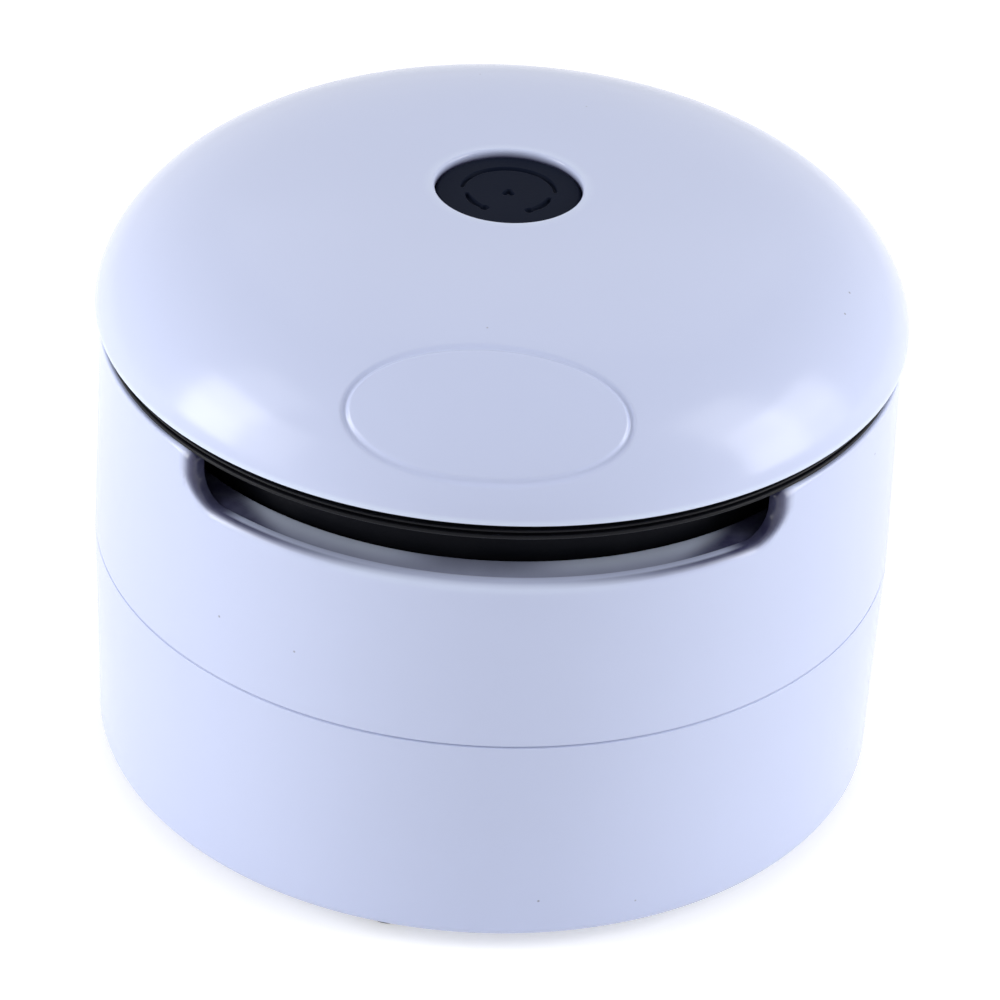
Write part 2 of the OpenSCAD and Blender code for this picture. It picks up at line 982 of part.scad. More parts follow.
module inlet_duct() {
    z_floor = z_cup + wall;
    inner_r = duct_r - duct_wall;
    color(BLACK)
        difference() {
            union() {
                disc(duct_r, z_cup, z_duct + hood_gap + root);
                disc(duct_r + 2, z_floor, z_floor + 1.2);
                disc(duct_r + 1, z_duct + hood_gap, z_duct + hood_gap + hood_t);
            }
            disc(inner_r, z_cup - cut, z_duct + hood_gap);
            for (a = [0, 90])
                rotate([0, 0, a])
                    block(3 * duct_r, hood_window, z_duct, z_duct + hood_gap);
        }
}

module brush_backing() {
    color(BLACK)
        ring(brush_r + brush_w - face_gap, brush_r + face_gap, z_bristle_top, z_cup + brush_h);
}

module brush_bristles() {
    clear_h = 0.3;
    color("gray")
        ring(brush_r + brush_w - 1, brush_r + 1, clear_h, z_bristle_top);
}

// ---- feet ----

module foot(index) {
    color(RUBBER)
        rotate([0, 0, 270 - foot_turn + 90 * index])
            translate([foot_ring_r, 0, 0])
                disc(foot_d / 2, 0, z_cup);
}

top_cap();
power_button();
switch_plunger();
switch_spring();
switch_body();
switch_pcb();
pcb_screws();
battery_tray();
battery_front();
battery_back();
spring_contacts();
plate_contacts();
motor_can();
motor_magnets();
motor_end_bell();
motor_terminals();
motor_bushing();
motor_shaft();
armature();
impeller();
fan_housing();
intake_grille();
housing_screws();
upper_body();
filter_frame();
filter_grille();
filter_mesh();
seal_ring();
dust_cup();
inlet_duct();
brush_backing();
brush_bristles();
foot(0);  // foot_front
foot(1);  // foot_right
foot(2);  // foot_back
foot(3);  // foot_left
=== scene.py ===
"""Looks of a round desktop mini vacuum cleaner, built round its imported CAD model.

Metres, +Z up, front toward -Y.
"""
import json
import math
import random

import bpy
from mathutils import Matrix, Vector


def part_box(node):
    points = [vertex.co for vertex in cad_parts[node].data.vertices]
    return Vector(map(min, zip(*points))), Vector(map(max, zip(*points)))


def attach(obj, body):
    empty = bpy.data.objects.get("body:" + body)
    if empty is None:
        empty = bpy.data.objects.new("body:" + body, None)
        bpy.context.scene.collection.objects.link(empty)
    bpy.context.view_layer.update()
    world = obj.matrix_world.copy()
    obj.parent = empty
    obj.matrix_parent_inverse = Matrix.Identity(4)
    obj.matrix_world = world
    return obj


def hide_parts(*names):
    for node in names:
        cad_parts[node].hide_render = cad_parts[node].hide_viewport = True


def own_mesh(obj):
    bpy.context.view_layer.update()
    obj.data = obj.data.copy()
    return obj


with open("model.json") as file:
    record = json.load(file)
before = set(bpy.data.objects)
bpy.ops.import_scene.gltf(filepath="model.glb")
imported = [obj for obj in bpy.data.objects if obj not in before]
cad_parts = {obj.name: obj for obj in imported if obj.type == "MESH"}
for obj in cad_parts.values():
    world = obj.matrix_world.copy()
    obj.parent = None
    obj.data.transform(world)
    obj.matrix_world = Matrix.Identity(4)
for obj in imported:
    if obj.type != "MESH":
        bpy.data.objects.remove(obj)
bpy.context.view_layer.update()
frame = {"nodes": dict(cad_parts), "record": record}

MM = 0.001
FRONT = math.radians(270)

# ---- sizes

cap_low, cap_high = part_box("top_cap")
body_low, body_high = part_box("upper_body")
cup_low, cup_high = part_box("dust_cup")
button_low, button_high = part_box("power_button")
button_r = button_high[0]
bristle_low, bristle_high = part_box("brush_bristles")

SHELL_R = 43 * MM
DRAFT = 0.5 * MM
WALL = 2 * MM
RIM_WALL = 1.7 * MM
BODY_IN_R = SHELL_R - DRAFT - RIM_WALL
SOFT_EDGE = 0.28 * MM  # rounding of the white shells' moulded edges
INNER_SOFT = 0.2 * MM  # rounding of edges inside and underneath
FINE_SOFT = 0.15 * MM  # rounding of lugs, ribs and the button's edges

Z_CUP = cup_low[2]
Z_SEAM_CUP = body_low[2] - 0.2 * MM
Z_SEAM_BODY = body_low[2]
Z_RIM = body_high[2]
Z_CAP = cap_low[2]
Z_TOP = cap_high[2]
Z_COLLAR = cup_high[2]
Z_BUTTON = button_high[2]


def pol(r, angle, z):
    """Point at a radius, an angle about the axis and a height."""
    return Vector((r * math.cos(angle), r * math.sin(angle), z))


def put(name, data):
    """A new object in the scene."""
    obj = bpy.data.objects.new(name, data)
    bpy.context.scene.collection.objects.link(obj)
    return obj


# ---- camera

FOCAL_PX = 4783.36  # focal length in pixels of a 1000 x 1000 frame
FRAME_PX = 1000
SENSOR_MM = 36.0
CAMERA_DISTANCE = 519.0 * MM
CAMERA_TARGET = Vector((0.775 * MM, 0.0, 26.9 * MM + Z_CUP))
CAMERA_ELEVATION = math.radians(32.711)
CAMERA_ROLL = math.radians(2.983)
CAMERA_YAW = math.radians(1.35)
NEAR_CLIP = 0.01
FAR_CLIP = 20.0


def make_camera():
    data = bpy.data.cameras.new("camera")
    data.sensor_width = SENSOR_MM
    data.sensor_fit = "HORIZONTAL"
    data.lens = FOCAL_PX / FRAME_PX * SENSOR_MM
    data.clip_start = NEAR_CLIP
    data.clip_end = FAR_CLIP
    camera = put("camera", data)
    back = Vector((0, -math.cos(CAMERA_ELEVATION), math.sin(CAMERA_ELEVATION)))
    right = Vector((1, 0, 0))
    up = back.cross(right)
    right_rolled = math.cos(CAMERA_ROLL) * right + math.sin(CAMERA_ROLL) * up
    up_rolled = math.cos(CAMERA_ROLL) * up - math.sin(CAMERA_ROLL) * right
    place = CAMERA_TARGET + back * CAMERA_DISTANCE
    turn = Matrix((right_rolled, up_rolled, back)).transposed().to_4x4()
    camera.matrix_world = Matrix.Rotation(CAMERA_YAW, 4, "Z") @ Matrix.Translation(place) @ turn
    bpy.context.scene.camera = camera


# ---- materials

def srgb(r, g, b):
    """A colour given as it looks on screen, 0 to 255, as the linear values that a shader takes."""
    def line(v):
        v /= 255
        return v / 12.92 if v <= 0.04045 else ((v + 0.055) / 1.055) ** 2.4
    return (line(r), line(g), line(b), 1.0)


def grey(value):
    return (value, value, value, 1.0)


def shade(colour, factor):
    """A colour made lighter or darker."""
    return tuple(min(1.0, c * factor) for c in colour[:3]) + (1.0,)


def new_material(name):
    material = bpy.data.materials.new(name)
    material.use_nodes = True
    tree = material.node_tree
    return material, tree, tree.nodes["Principled BSDF"]


def set_values(node, values):
    for name, value in values.items():
        node.inputs[name].default_value = value


def add_node(tree, kind, **values):
    """A new node with some of its inputs set."""
    node = tree.nodes.new("ShaderNode" + kind)
    set_values(node, values)
    return node


def on_object(tree, kind, mapped=None, **values):
    """A texture fixed to the object; mapped stretches or turns it. Returns the texture's node."""
    where = add_node(tree, "TexCoord").outputs["Object"]
    if mapped:
        mapping = add_node(tree, "Mapping", **mapped)
        tree.links.new(where, mapping.inputs["Vector"])
        where = mapping.outputs["Vector"]
    texture = add_node(tree, kind, **values)
    tree.links.new(where, texture.inputs["Vector"])
    return texture


def noise(tree, cells, detail, mapped=None):
    """Noise of so many cells a metre."""
    return on_object(tree, "TexNoise", mapped, Scale=cells, Detail=detail).outputs["Fac"]


def ramp(tree, value, low, high):
    """Maps a value from one (position, colour) stop to the other."""
    node = add_node(tree, "ValToRGB")
    for element, (position, colour) in zip(node.color_ramp.elements, (low, high)):
        element.position = position
        element.color = colour
    tree.links.new(value, node.inputs["Fac"])
    return node.outputs["Color"]


def maths(tree, operation, a, b):
    """A Math node on two values, of which b may be a plain number."""
    node = add_node(tree, "Math")
    node.operation = operation
    tree.links.new(a, node.inputs[0])
    if isinstance(b, float):
        node.inputs[1].default_value = b
    else:
        tree.links.new(b, node.inputs[1])
    return node.outputs["Value"]


def mixed(tree, share, under, colour):
    """Mixes a plain colour over another by a share from 0 to 1."""
    mix = add_node(tree, "Mix")
    mix.data_type = "RGBA"
    tree.links.new(share, mix.inputs["Factor"])
    tree.links.new(under, mix.inputs["A"])
    mix.inputs["B"].default_value = srgb(*colour)
    return mix.outputs["Result"]


def bump(tree, height, depth):
    node = add_node(tree, "Bump", Strength=1.0, Distance=depth)
    tree.links.new(height, node.inputs["Height"])
    return node.outputs["Normal"]


MOTTLE_CELLS = 60.0
GLOSS_CELLS = 190.0
COAT_ROUGHNESS = 0.08


def moulded(name, colour, roughness, grain_cells, grain_depth, mottle, coat=0.0, metallic=0.0, level=0.5):
    """Moulded plastic or rubber: fine grain, slow drift of colour and of gloss."""
    material, tree, shader = new_material(name)
    colour = srgb(*colour)
    drift = noise(tree, MOTTLE_CELLS, 4.0)
    tint = ramp(tree, drift, (0.3, shade(colour, 1 - mottle)), (0.7, shade(colour, 1 + mottle)))
    tree.links.new(tint, shader.inputs["Base Color"])
    wear = noise(tree, GLOSS_CELLS, 6.0)
    gloss = ramp(tree, wear, (0.35, grey(roughness * 0.85)), (0.7, grey(min(1.0, roughness * 1.2))))
    tree.links.new(gloss, shader.inputs["Roughness"])
    grain = noise(tree, grain_cells, 2.0)
    tree.links.new(bump(tree, grain, grain_depth), shader.inputs["Normal"])
    finish = {"Coat Weight": coat, "Coat Roughness": COAT_ROUGHNESS}
    set_values(shader, {"Metallic": metallic, "Specular IOR Level": level, **finish})
    return material


SHELL_COLOUR = (206, 215, 246)
SHELL_IOR = 1.46
SHELL_DRIFT_CELLS = 22.0
SHELL_GLOSS_CELLS = 130.0
RIPPLE_CELLS = 55.0
RIPPLE_DEPTH = 0.018 * MM
# Colours of the painted shade and the painted light laid over the shell, and the size of their uneven
# patches
PAINTED_SHADE_COLOUR = (56, 55, 90)
PAINTED_LIGHT_COLOUR = (220, 231, 255)
PAINT_PATCH_CELLS = 420.0
SPECK_COLOUR = (112, 112, 128)
SPECK_PITCH = 6.2 * MM
SPECK_R = 0.13 * MM


def laid_over(tree, under, value, colour):
    """Mixes a colour over another as much as the mesh's stored value says, a little uneven."""
    painted_amount = add_node(tree, "Attribute")
    painted_amount.attribute_name = value
    patch = ramp(tree, noise(tree, PAINT_PATCH_CELLS, 4.0), (0.3, grey(0.9)), (0.7, grey(1.0)))
    return mixed(tree, maths(tree, "MULTIPLY", painted_amount.outputs["Fac"], patch), under, colour)


def shell_white():
    """Glossy cool white shell: slow drift of tint and gloss, faint flow ripple, a few tiny specks.

    The meshes store where painted light and where painted shade lie on it.
    """
    colour = srgb(*SHELL_COLOUR)
    material, tree, shader = new_material("shell_white")
    drift = noise(tree, SHELL_DRIFT_CELLS, 3.0)
    tint = ramp(tree, drift, (0.3, shade(colour, 0.985)), (0.7, shade(colour, 1.015)))
    specks = on_object(tree, "TexVoronoi", Scale=1 / SPECK_PITCH)
    size = SPECK_R / SPECK_PITCH
    speck = ramp(tree, specks.outputs["Distance"], (size * 0.7, grey(0.6)), (size * 1.3, grey(0.0)))
    own_colour = mixed(tree, speck, tint, SPECK_COLOUR)
    # Painted light is laid over first, then painted shade, each as much as the mesh stores
    painted_light = laid_over(tree, own_colour, "painted_light", PAINTED_LIGHT_COLOUR)
    tree.links.new(laid_over(tree, painted_light, "painted_shade", PAINTED_SHADE_COLOUR), shader.inputs["Base Color"])
    gloss = ramp(tree, noise(tree, SHELL_GLOSS_CELLS, 5.0), (0.3, grey(0.18)), (0.75, grey(0.23)))
    tree.links.new(gloss, shader.inputs["Roughness"])
    ripple = noise(tree, RIPPLE_CELLS, 2.0)
    tree.links.new(bump(tree, ripple, RIPPLE_DEPTH), shader.inputs["Normal"])
    shader.inputs["IOR"].default_value = SHELL_IOR
    return material


DRAWN_CELLS = 900.0
DRAWN_DEPTH = 0.01 * MM


def brushed(name, colour, roughness, stretch):
    """Metal with fine lines drawn along one way."""
    material, tree, shader = new_material(name)
    colour = srgb(*colour)
    lines = noise(tree, DRAWN_CELLS, 3.0, {"Scale": stretch})
    tint = ramp(tree, lines, (0.25, shade(colour, 0.8)), (0.75, shade(colour, 1.1)))
    tree.links.new(tint, shader.inputs["Base Color"])
    gloss = ramp(tree, lines, (0.3, grey(roughness * 0.7)), (0.7, grey(roughness * 1.3)))
    tree.links.new(gloss, shader.inputs["Roughness"])
    tree.links.new(bump(tree, lines, DRAWN_DEPTH), shader.inputs["Normal"])
    shader.inputs["Metallic"].default_value = 1.0
    return material


THREAD_DEPTH = 0.1 * MM
WAVE_DISTORTION = 0.4


def weave(name, colour, count):
    """Fine woven mesh: crossed threads as bump, with painted shade in the low places between them."""
    material, tree, shader = new_material(name)
    colour = srgb(*colour)
    heights = []
    for turn in (0.0, math.pi / 2):
        mapped = {"Rotation": (0, 0, turn)}
        wave = on_object(tree, "TexWave", mapped, Scale=count, Distortion=WAVE_DISTORTION)
        heights.append(wave.outputs["Fac"])
    height = maths(tree, "MAXIMUM", *heights)
    # Painted shade: darker where the threads lie low
    tint = ramp(tree, height, (0.3, shade(colour, 0.45)), (0.8, colour))
    tree.links.new(tint, shader.inputs["Base Color"])
    tree.links.new(bump(tree, height, THREAD_DEPTH), shader.inputs["Normal"])
    shader.inputs["Roughness"].default_value = 0.75
    return material


# Colour, roughness, grain in cells a metre, depth of grain in metres, mottle, coat, metal, specular level
MOULDED = {
    "black_gloss": ((20, 26, 42), 0.35, 2600.0, 0.00001, 0.06, 0.0, 0.0, 0.015),
    "black_moulding": ((16, 17, 23), 0.42, 2200.0, 0.00002, 0.06, 0.0, 0.0, 0.15),
    "grey_moulding": ((112, 116, 122), 0.45, 2000.0, 0.00002, 0.05),
    "rubber": ((30, 31, 38), 0.72, 1700.0, 0.00003, 0.08),
    "magnet": ((62, 62, 64), 0.6, 1500.0, 0.00003, 0.1),
    "winding": ((176, 104, 58), 0.35, 1600.0, 0.00005, 0.15, 0.2, 0.8),
    "bell": ((226, 224, 214), 0.45, 1900.0, 0.00002, 0.03),
    "board": ((24, 92, 56), 0.35, 900.0, 0.00002, 0.12, 0.3),
    "cell_jacket": ((58, 78, 92), 0.33, 1200.0, 0.00001, 0.06, 0.3, 0.4),
    "bristle": ((70, 72, 78), 0.5, 1500.0, 0.00002, 0.2),
}
# Colour, roughness, stretch of the drawn lines
BRUSHED = {
    "steel": ((190, 193, 198), 0.3, (0.05, 1.0, 1.0)),
    "brass": ((214, 180, 108), 0.28, (1.0, 0.05, 1.0)),
}
MATERIALS = {"shell": shell_white(), "mesh": weave("mesh", (226, 228, 232), 160.0)}
for slot_name, finish in MOULDED.items():
    MATERIALS[slot_name] = moulded(slot_name, *finish)
for slot_name, finish in BRUSHED.items():
    MATERIALS[slot_name] = brushed(slot_name, *finish)


def paint(obj, slot):
    obj.data.materials.clear()
    obj.data.materials.append(MATERIALS[slot])


# ---- mesh building

def add_piece(name, shells, slot, body, replaced=()):
    """One object from closed shells, each (points, faces), riding on a CAD body."""
    points, faces = [], []
    for shell_points, shell_faces in shells:
        start = len(points)
        points.extend(shell_points)
        faces.extend(tuple(start + i for i in face) for face in shell_faces)
    mesh = bpy.data.meshes.new(name)
    mesh.from_pydata([tuple(p) for p in points], [], faces)
    mesh.validate()
    mesh.polygons.foreach_set("use_smooth", [True] * len(mesh.polygons))
    mesh.update()
    piece = put(name, mesh)
    piece.modifiers.new("even_normals", "WEIGHTED_NORMAL").keep_sharp = True
    paint(piece, slot)
    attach(piece, body)
    if replaced:
        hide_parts(*replaced)
    return piece


def rounded(corners, steps=4):
    """Closed outline from (r, z, rounding) corners, each corner turned into an arc of that radius."""
    outline = []
    count = len(corners)
    for i, (x, z, radius) in enumerate(corners):
        here = Vector((x, z))
        if radius <= 0:
            outline.append(here)
            continue
        before = Vector(corners[i - 1][:2]) - here
        after = Vector(corners[(i + 1) % count][:2]) - here
        half = before.angle(after) / 2
        reach = min(radius / math.tan(half), 0.48 * before.length, 0.48 * after.length)
        radius = reach * math.tan(half)
        middle = here + (before.normalized() + after.normalized()).normalized() * radius / math.sin(half)
        first = here + before.normalized() * reach - middle
        last = here + after.normalized() * reach - middle
        sweep = first.angle(last)
        for k in range(steps + 1):
            t = k / steps
            turn = math.sin((1 - t) * sweep) * first + math.sin(t * sweep) * last
            outline.append(middle + turn / math.sin(sweep))
    return outline


def lay(piece, value, amount):
    """Stores how much painted shade or painted light each point of a piece takes, as a value that its
    material reads.
    """
    painted_amount = piece.data.attributes.new(value, "FLOAT", "POINT")
    painted_amount.data.foreach_set("value", [amount(v.co) for v in piece.data.vertices])


def ease(low, high, value):
    """Smooth step from 0 at low to 1 at high."""
    t = max(0.0, min(1.0, (value - low) / (high - low)))
    return t * t * (3 - 2 * t)


def even_angles(count):
    return [math.tau * i / count for i in range(count)]


FINE_TURN = even_angles(360)


def turned(outline, angles=FINE_TURN):
    """Closed shell swept once round the axis from a closed outline of (r, z), listed anticlockwise."""
    points = [pol(p[0], a, p[1]) for a in angles for p in outline]
    rows, turns = len(outline), len(angles)
    faces = []
    for j in range(turns):
        k = (j + 1) % turns
        for i in range(rows):
            n = (i + 1) % rows
            faces.append((j * rows + i, k * rows + i, k * rows + n, j * rows + n))
    return points, faces


def turned_solid(outline, angles=FINE_TURN):
    """Closed shell swept round the axis from an open outline that starts and ends on the axis."""
    inner = outline[1:-1]
    points = [pol(p[0], a, p[1]) for a in angles for p in inner]
    rows, turns = len(inner), len(angles)
    first, last = len(points), len(points) + 1
    points += [Vector((0, 0, outline[0][1])), Vector((0, 0, outline[-1][1]))]
    faces = []
    for j in range(turns):
        k = (j + 1) % turns
        faces.append((first, k * rows, j * rows))
        for i in range(rows - 1):
            faces.append((j * rows + i, k * rows + i, k * rows + i + 1, j * rows + i + 1))
        faces.append((j * rows + rows - 1, k * rows + rows - 1, last))
    return points, faces


def tube(rings, count):
    """Faces of a run of rings, each of so many points, with a face over either end."""
    faces = []
    for j in range(rings - 1):
        for i in range(count):
            n = (i + 1) % count
            faces.append((j * count + i, j * count + n, (j + 1) * count + n, (j + 1) * count + i))
    faces.append(tuple(reversed(range(count))))
    faces.append(tuple(range((rings - 1) * count, rings * count)))
    return faces


def helical_block(r_in, r_out, z_at, thick, start, stop, steps, edge):
    """Closed block between two radii that climbs along z_at(angle), with its edges eased."""
    section = rounded_rectangle(r_in, -thick, r_out, 0, edge, 2)
    rows = len(section)
    points, faces = [], []
    for j in range(steps + 1):
        angle = start + (stop - start) * j / steps
        for p in section:
            points.append(pol(p[0], angle, z_at(angle) + p[1]))
    for j in range(steps):
        for i in range(rows):
            n = (i + 1) % rows
            faces.append((j * rows + i, (j + 1) * rows + i, (j + 1) * rows + n, j * rows + n))
    faces.append(tuple(range(rows)))
    faces.append(tuple(reversed(range(steps * rows, (steps + 1) * rows))))
    return points, faces


def swept_wire(path, radius, sides=8, tip=1.0):
    """Closed round wire along a list of points; tip is its last radius as a share of the first."""
    points = []
    count = len(path)
    normal = None
    for i, here in enumerate(path):
        along = (path[min(i + 1, count - 1)] - path[max(i - 1, 0)]).normalized()
        if normal is None:
            normal = along.orthogonal().normalized()
        normal = (normal - along * normal.dot(along)).normalized()
        other = along.cross(normal)
        r = radius * (1 + (tip - 1) * i / (count - 1))
        for a in even_angles(sides):
            points.append(here + (normal * math.cos(a) + other * math.sin(a)) * r)
    return points, tube(count, sides)


HELIX_STEPS = 40  # points a turn
HELIX_FLATTENING = 0.45


def helix(r_from, r_to, z_from, z_to, turns):
    """Points of a coil about the axis, with its end turns flattened as on a ground spring."""
    count = int(turns * HELIX_STEPS)
    path = []
    for i in range(count + 1):
        t = i / count
        climb = t - math.sin(math.tau * t) / math.tau * HELIX_FLATTENING
        r = r_from + (r_to - r_from) * t
        path.append(pol(r, math.tau * turns * t, z_from + (z_to - z_from) * climb))
    return path


def slab(outline, low, high, edge):
    """Closed plate from a convex outline of (x, y), anticlockwise, with eased upper and lower edges."""
    middle = sum((Vector(p) for p in outline), Vector((0, 0))) / len(outline)
    levels = [(low, edge), (low + edge, 0.0), (high - edge, 0.0), (high, edge)]
    points = []
    for z, inset in levels:
        for p in outline:
            out = (Vector(p) - middle).normalized()
            points.append(Vector((p[0] - out.x * inset, p[1] - out.y * inset, z)))
    return points, tube(len(levels), len(outline))


def rounded_rectangle(x0, y0, x1, y1, corner, steps=4):
    return rounded([(x0, y0, corner), (x1, y0, corner), (x1, y1, corner), (x0, y1, corner)], steps)


def placed(shell, matrix):
    points, faces = shell
    return [matrix @ p for p in points], faces


def body_of(node):
    """The CAD body that a node belongs to."""
    bodies = frame["record"]["behaviour"]["bodies"]
    return next(body for body, nodes in bodies.items() if node in nodes)


# ---- cap

DOME_FLAT = 4.11
DOME_FULL = 1.604
CAP_EDGE = 0.4 * MM
CAP_RIM_ROUND = 0.3 * MM
BORE_R = button_r + 0.1 * MM
GUIDE_WALL = 1.5 * MM
OVAL_A = 14.2 * MM
OVAL_B = 7.3 * MM
OVAL_TILT = math.radians(35)
OVAL_CENTRE = Vector((0, -35.7 * MM, Z_CAP + 8.3 * MM))
OVAL_LINE = 0.9 * MM
OVAL_CUT = 0.3 * MM
CLOSE_HALF = math.radians(32)  # half of the front sector that has the oval in it
CLOSE_ANGLES = 330
WIDE_ANGLES = 150
DOME_STEP = 0.2 * MM
PROFILE_STEPS = 2000
INSIDE_STEPS = 24
BORE_EDGE = 0.35 * MM
GUIDE_LIFT = 0.01 * MM


def dome_height(r, inset=0.0):
    base = Z_CAP + CAP_EDGE
    reach = SHELL_R - inset
    share = max(0.0, 1 - (min(r, reach) / reach) ** DOME_FLAT)
    return base + (Z_TOP - base - inset) * share ** (1 / DOME_FULL)


def dome_slope(r):
    """Outward unit normal of the dome at radius r, as (radial, up)."""
    step = 0.02 * MM
    a, b = max(r - step, 0), min(r + step, SHELL_R)
    direction = Vector((b - a, dome_height(b) - dome_height(a))).normalized()
    return Vector((-direction.y, direction.x))


def groove_depth(point):
    """Depth of the oval groove at a point of the dome."""
    offset = point - OVAL_CENTRE
    u = offset.x / OVAL_A
    v = (offset.y * math.cos(OVAL_TILT) + offset.z * math.sin(OVAL_TILT)) / OVAL_B
    size = math.hypot(u, v)
    if size < 0.3 or point.y > 0:
        return 0.0
    steepness = math.hypot(u / OVAL_A, v / OVAL_B) / size
    away = abs((size - 1) / steepness) / (OVAL_LINE / 2)
    if away >= 1:
        return 0.0
    return OVAL_CUT * (0.5 + 0.5 * math.cos(math.pi * away)) ** 0.7


def cap_angles():
    """Angles round the axis, close together over the oval and wider elsewhere."""
    front = [FRONT - CLOSE_HALF + 2 * CLOSE_HALF * i / CLOSE_ANGLES for i in range(CLOSE_ANGLES)]
    rest = math.tau - 2 * CLOSE_HALF
    return front + [FRONT + CLOSE_HALF + rest * i / WIDE_ANGLES for i in range(WIDE_ANGLES)]


def bore_painted_shade(point):
    """Painted shade in the button's bore, close above the button."""
    if math.hypot(point.x, point.y) > BORE_R + 0.2 * MM:
        return 0.0
    return 0.97 * (1 - ease(Z_TOP - 0.85 * MM, Z_TOP - 0.45 * MM, point.z))


def cap_painted_highlight(point):
    """Painted highlight along the cap's lower edge and round the button's bore."""
    r = math.hypot(point.x, point.y)
    if r > 0.9 * SHELL_R:
        return 0.95 * (1 - ease(0.35 * MM, 0.9 * MM, point.z - Z_CAP))
    ring = ease(BORE_R + 0.1 * MM, BORE_R + 0.4 * MM, r)
    return 0.45 * ring * (1 - ease(BORE_R + 0.5 * MM, BORE_R + 1.3 * MM, r))


def dome_rings():
    """Outline of the dome's outer face from the bore to the rim, evenly spaced along its length."""
    fine = [math.sin(i / PROFILE_STEPS * math.pi / 2) for i in range(PROFILE_STEPS + 1)]
    path = [Vector((SHELL_R * t ** (2 / DOME_FLAT), 0)) for t in fine]
    for p in path:
        p.y = dome_height(p.x)
    rings = []
    length = target = 0.0
    for i, p in enumerate(path):
        if i > 0:
            length += (p - path[i - 1]).length
        if p.x > BORE_R + 3 * BORE_EDGE and length >= target:
            rings.append(p)
            target = length + DOME_STEP
    rings[-1] = Vector((SHELL_R, Z_CAP + CAP_EDGE))
    return rings


def engrave(points):
    """Sinks the oval groove into those points that lie on the dome."""
    for point in points:
        r = math.hypot(point.x, point.y)
        if r > BORE_R + BORE_EDGE and abs(point.z - dome_height(r)) < 1e-6:
            depth = groove_depth(point)
            if depth > 0:
                slope = dome_slope(r)
                normal = Vector((slope.x * point.x / r, slope.x * point.y / r, slope.y))
                point -= normal * depth


def make_cap():
    guide_r = BORE_R + GUIDE_WALL
    guide_low = button_low[2] + GUIDE_LIFT
    outer = dome_rings()
    inner = []
    for i in range(INSIDE_STEPS + 1):
        t = 1 - i / INSIDE_STEPS
        r = guide_r + (SHELL_R - WALL - guide_r) * math.sin(t * math.pi / 2)
        inner.append(Vector((r, dome_height(r, WALL))))
    corner = rounded([
        (BORE_R, guide_low, INNER_SOFT),
        (BORE_R, Z_BUTTON - 0.2 * MM, 0),
        (BORE_R, dome_height(BORE_R), BORE_EDGE),
        (*outer[0], 0),
        (SHELL_R, Z_CAP + CAP_EDGE, 0),
        (SHELL_R, Z_CAP, CAP_RIM_ROUND),
        (SHELL_R - WALL, Z_CAP, INNER_SOFT),
        (*inner[0], 0),
        (guide_r, inner[-1].y, 0),
        (guide_r, guide_low, INNER_SOFT),
    ])

    def index_of(place):
        return next(i for i, p in enumerate(corner) if (p - place).length < 1e-9)

    # The rounded corners come in order; the long smooth stretches go between them
    outline = corner[:index_of(outer[0])] + outer
    outline += corner[index_of(outer[-1]) + 1:index_of(inner[0])] + inner
    outline += corner[index_of(inner[-1]) + 1:]
    outline.reverse()
    points, faces = turned(outline, cap_angles())
    engrave(points)
    cap = add_piece("cap_shell", [(points, faces)], "shell", "cap", ["top_cap"])
    # Painted shade in the bore; painted highlights along the lower edge and round the bore
    lay(cap, "painted_shade", bore_painted_shade)
    lay(cap, "painted_light", cap_painted_highlight)


# ---- upper body

NOTCH_HALF = math.radians(44.3)
NOTCH_DEPTH = 5.2 * MM
NOTCH_ROUND = 3.2 * MM
FLAT_R = SHELL_R - DRAFT  # radius at which the wall is laid flat
NOTCH_SIDE = NOTCH_HALF * FLAT_R
LIP_ROUND = 1.0 * MM  # rounding of the notch's outer edge
LIP_FADE = 6 * MM
INNER_EDGE = 0.25 * MM
SEAM_EDGE = 0.12 * MM
LEDGE_DROP = 0.15 * MM
LEDGE_T = 1.5 * MM
LEDGE_STEPS = 9
LEDGE_R = BODY_IN_R - 3.1 * MM
THREAD_LEAD = 30 * MM
LUG_COUNT = 3
LUG_T = 1.2 * MM
RIB_R = BODY_IN_R - 1.5 * MM
RIB_FROM = math.radians(-13)  # where the rib reaches the body's bottom edge
RIB_TO = math.radians(26)
LUG_TURN = 18  # degrees from a rib's middle to the lug that it holds
LUG_AT = math.radians(LUG_TURN)
LUG_HALF = math.radians(5)
LUG_LIFT = 0.3 * MM
RIB_STEPS = 24
LUG_STEPS = 8
LUG_R = BODY_IN_R - 0.6 * MM
COLLAR_R = RIB_R - 0.3 * MM
COLLAR_IN_R = COLLAR_R - 1.8 * MM
Z_RIB = Z_COLLAR - LUG_T - LUG_LIFT - THREAD_LEAD * LUG_TURN / 360 - 0.45 * MM
Z_NOTCH = Z_RIM - NOTCH_DEPTH
Z_CORNER = Z_NOTCH + NOTCH_ROUND  # where the notch's rounded corner ends
CORNER_X = NOTCH_SIDE - NOTCH_ROUND
TURN_X = NOTCH_SIDE + LIP_ROUND
TURN_Z = Z_RIM - LIP_ROUND
# Points along the notch's floor, its corner, its side, the turn up to the rim, the rim, and over the edge
FLOOR_STEPS = 60
CORNER_STEPS = 12
SIDE_STEPS = 4
TURN_STEPS = 6
RIM_STEPS = 170
OVER_STEPS = 6
WALL_STEPS = 14
WALL_CROWDING = 1.8  # rows lie closer together toward the notch


def body_out_r(z):
    return SHELL_R - DRAFT * (z - Z_SEAM_BODY) / (Z_RIM - Z_SEAM_BODY)


def spread(a, b, count):
    """Even steps from a to b, without a."""
    return [a + (b - a) * i / count for i in range(1, count + 1)]


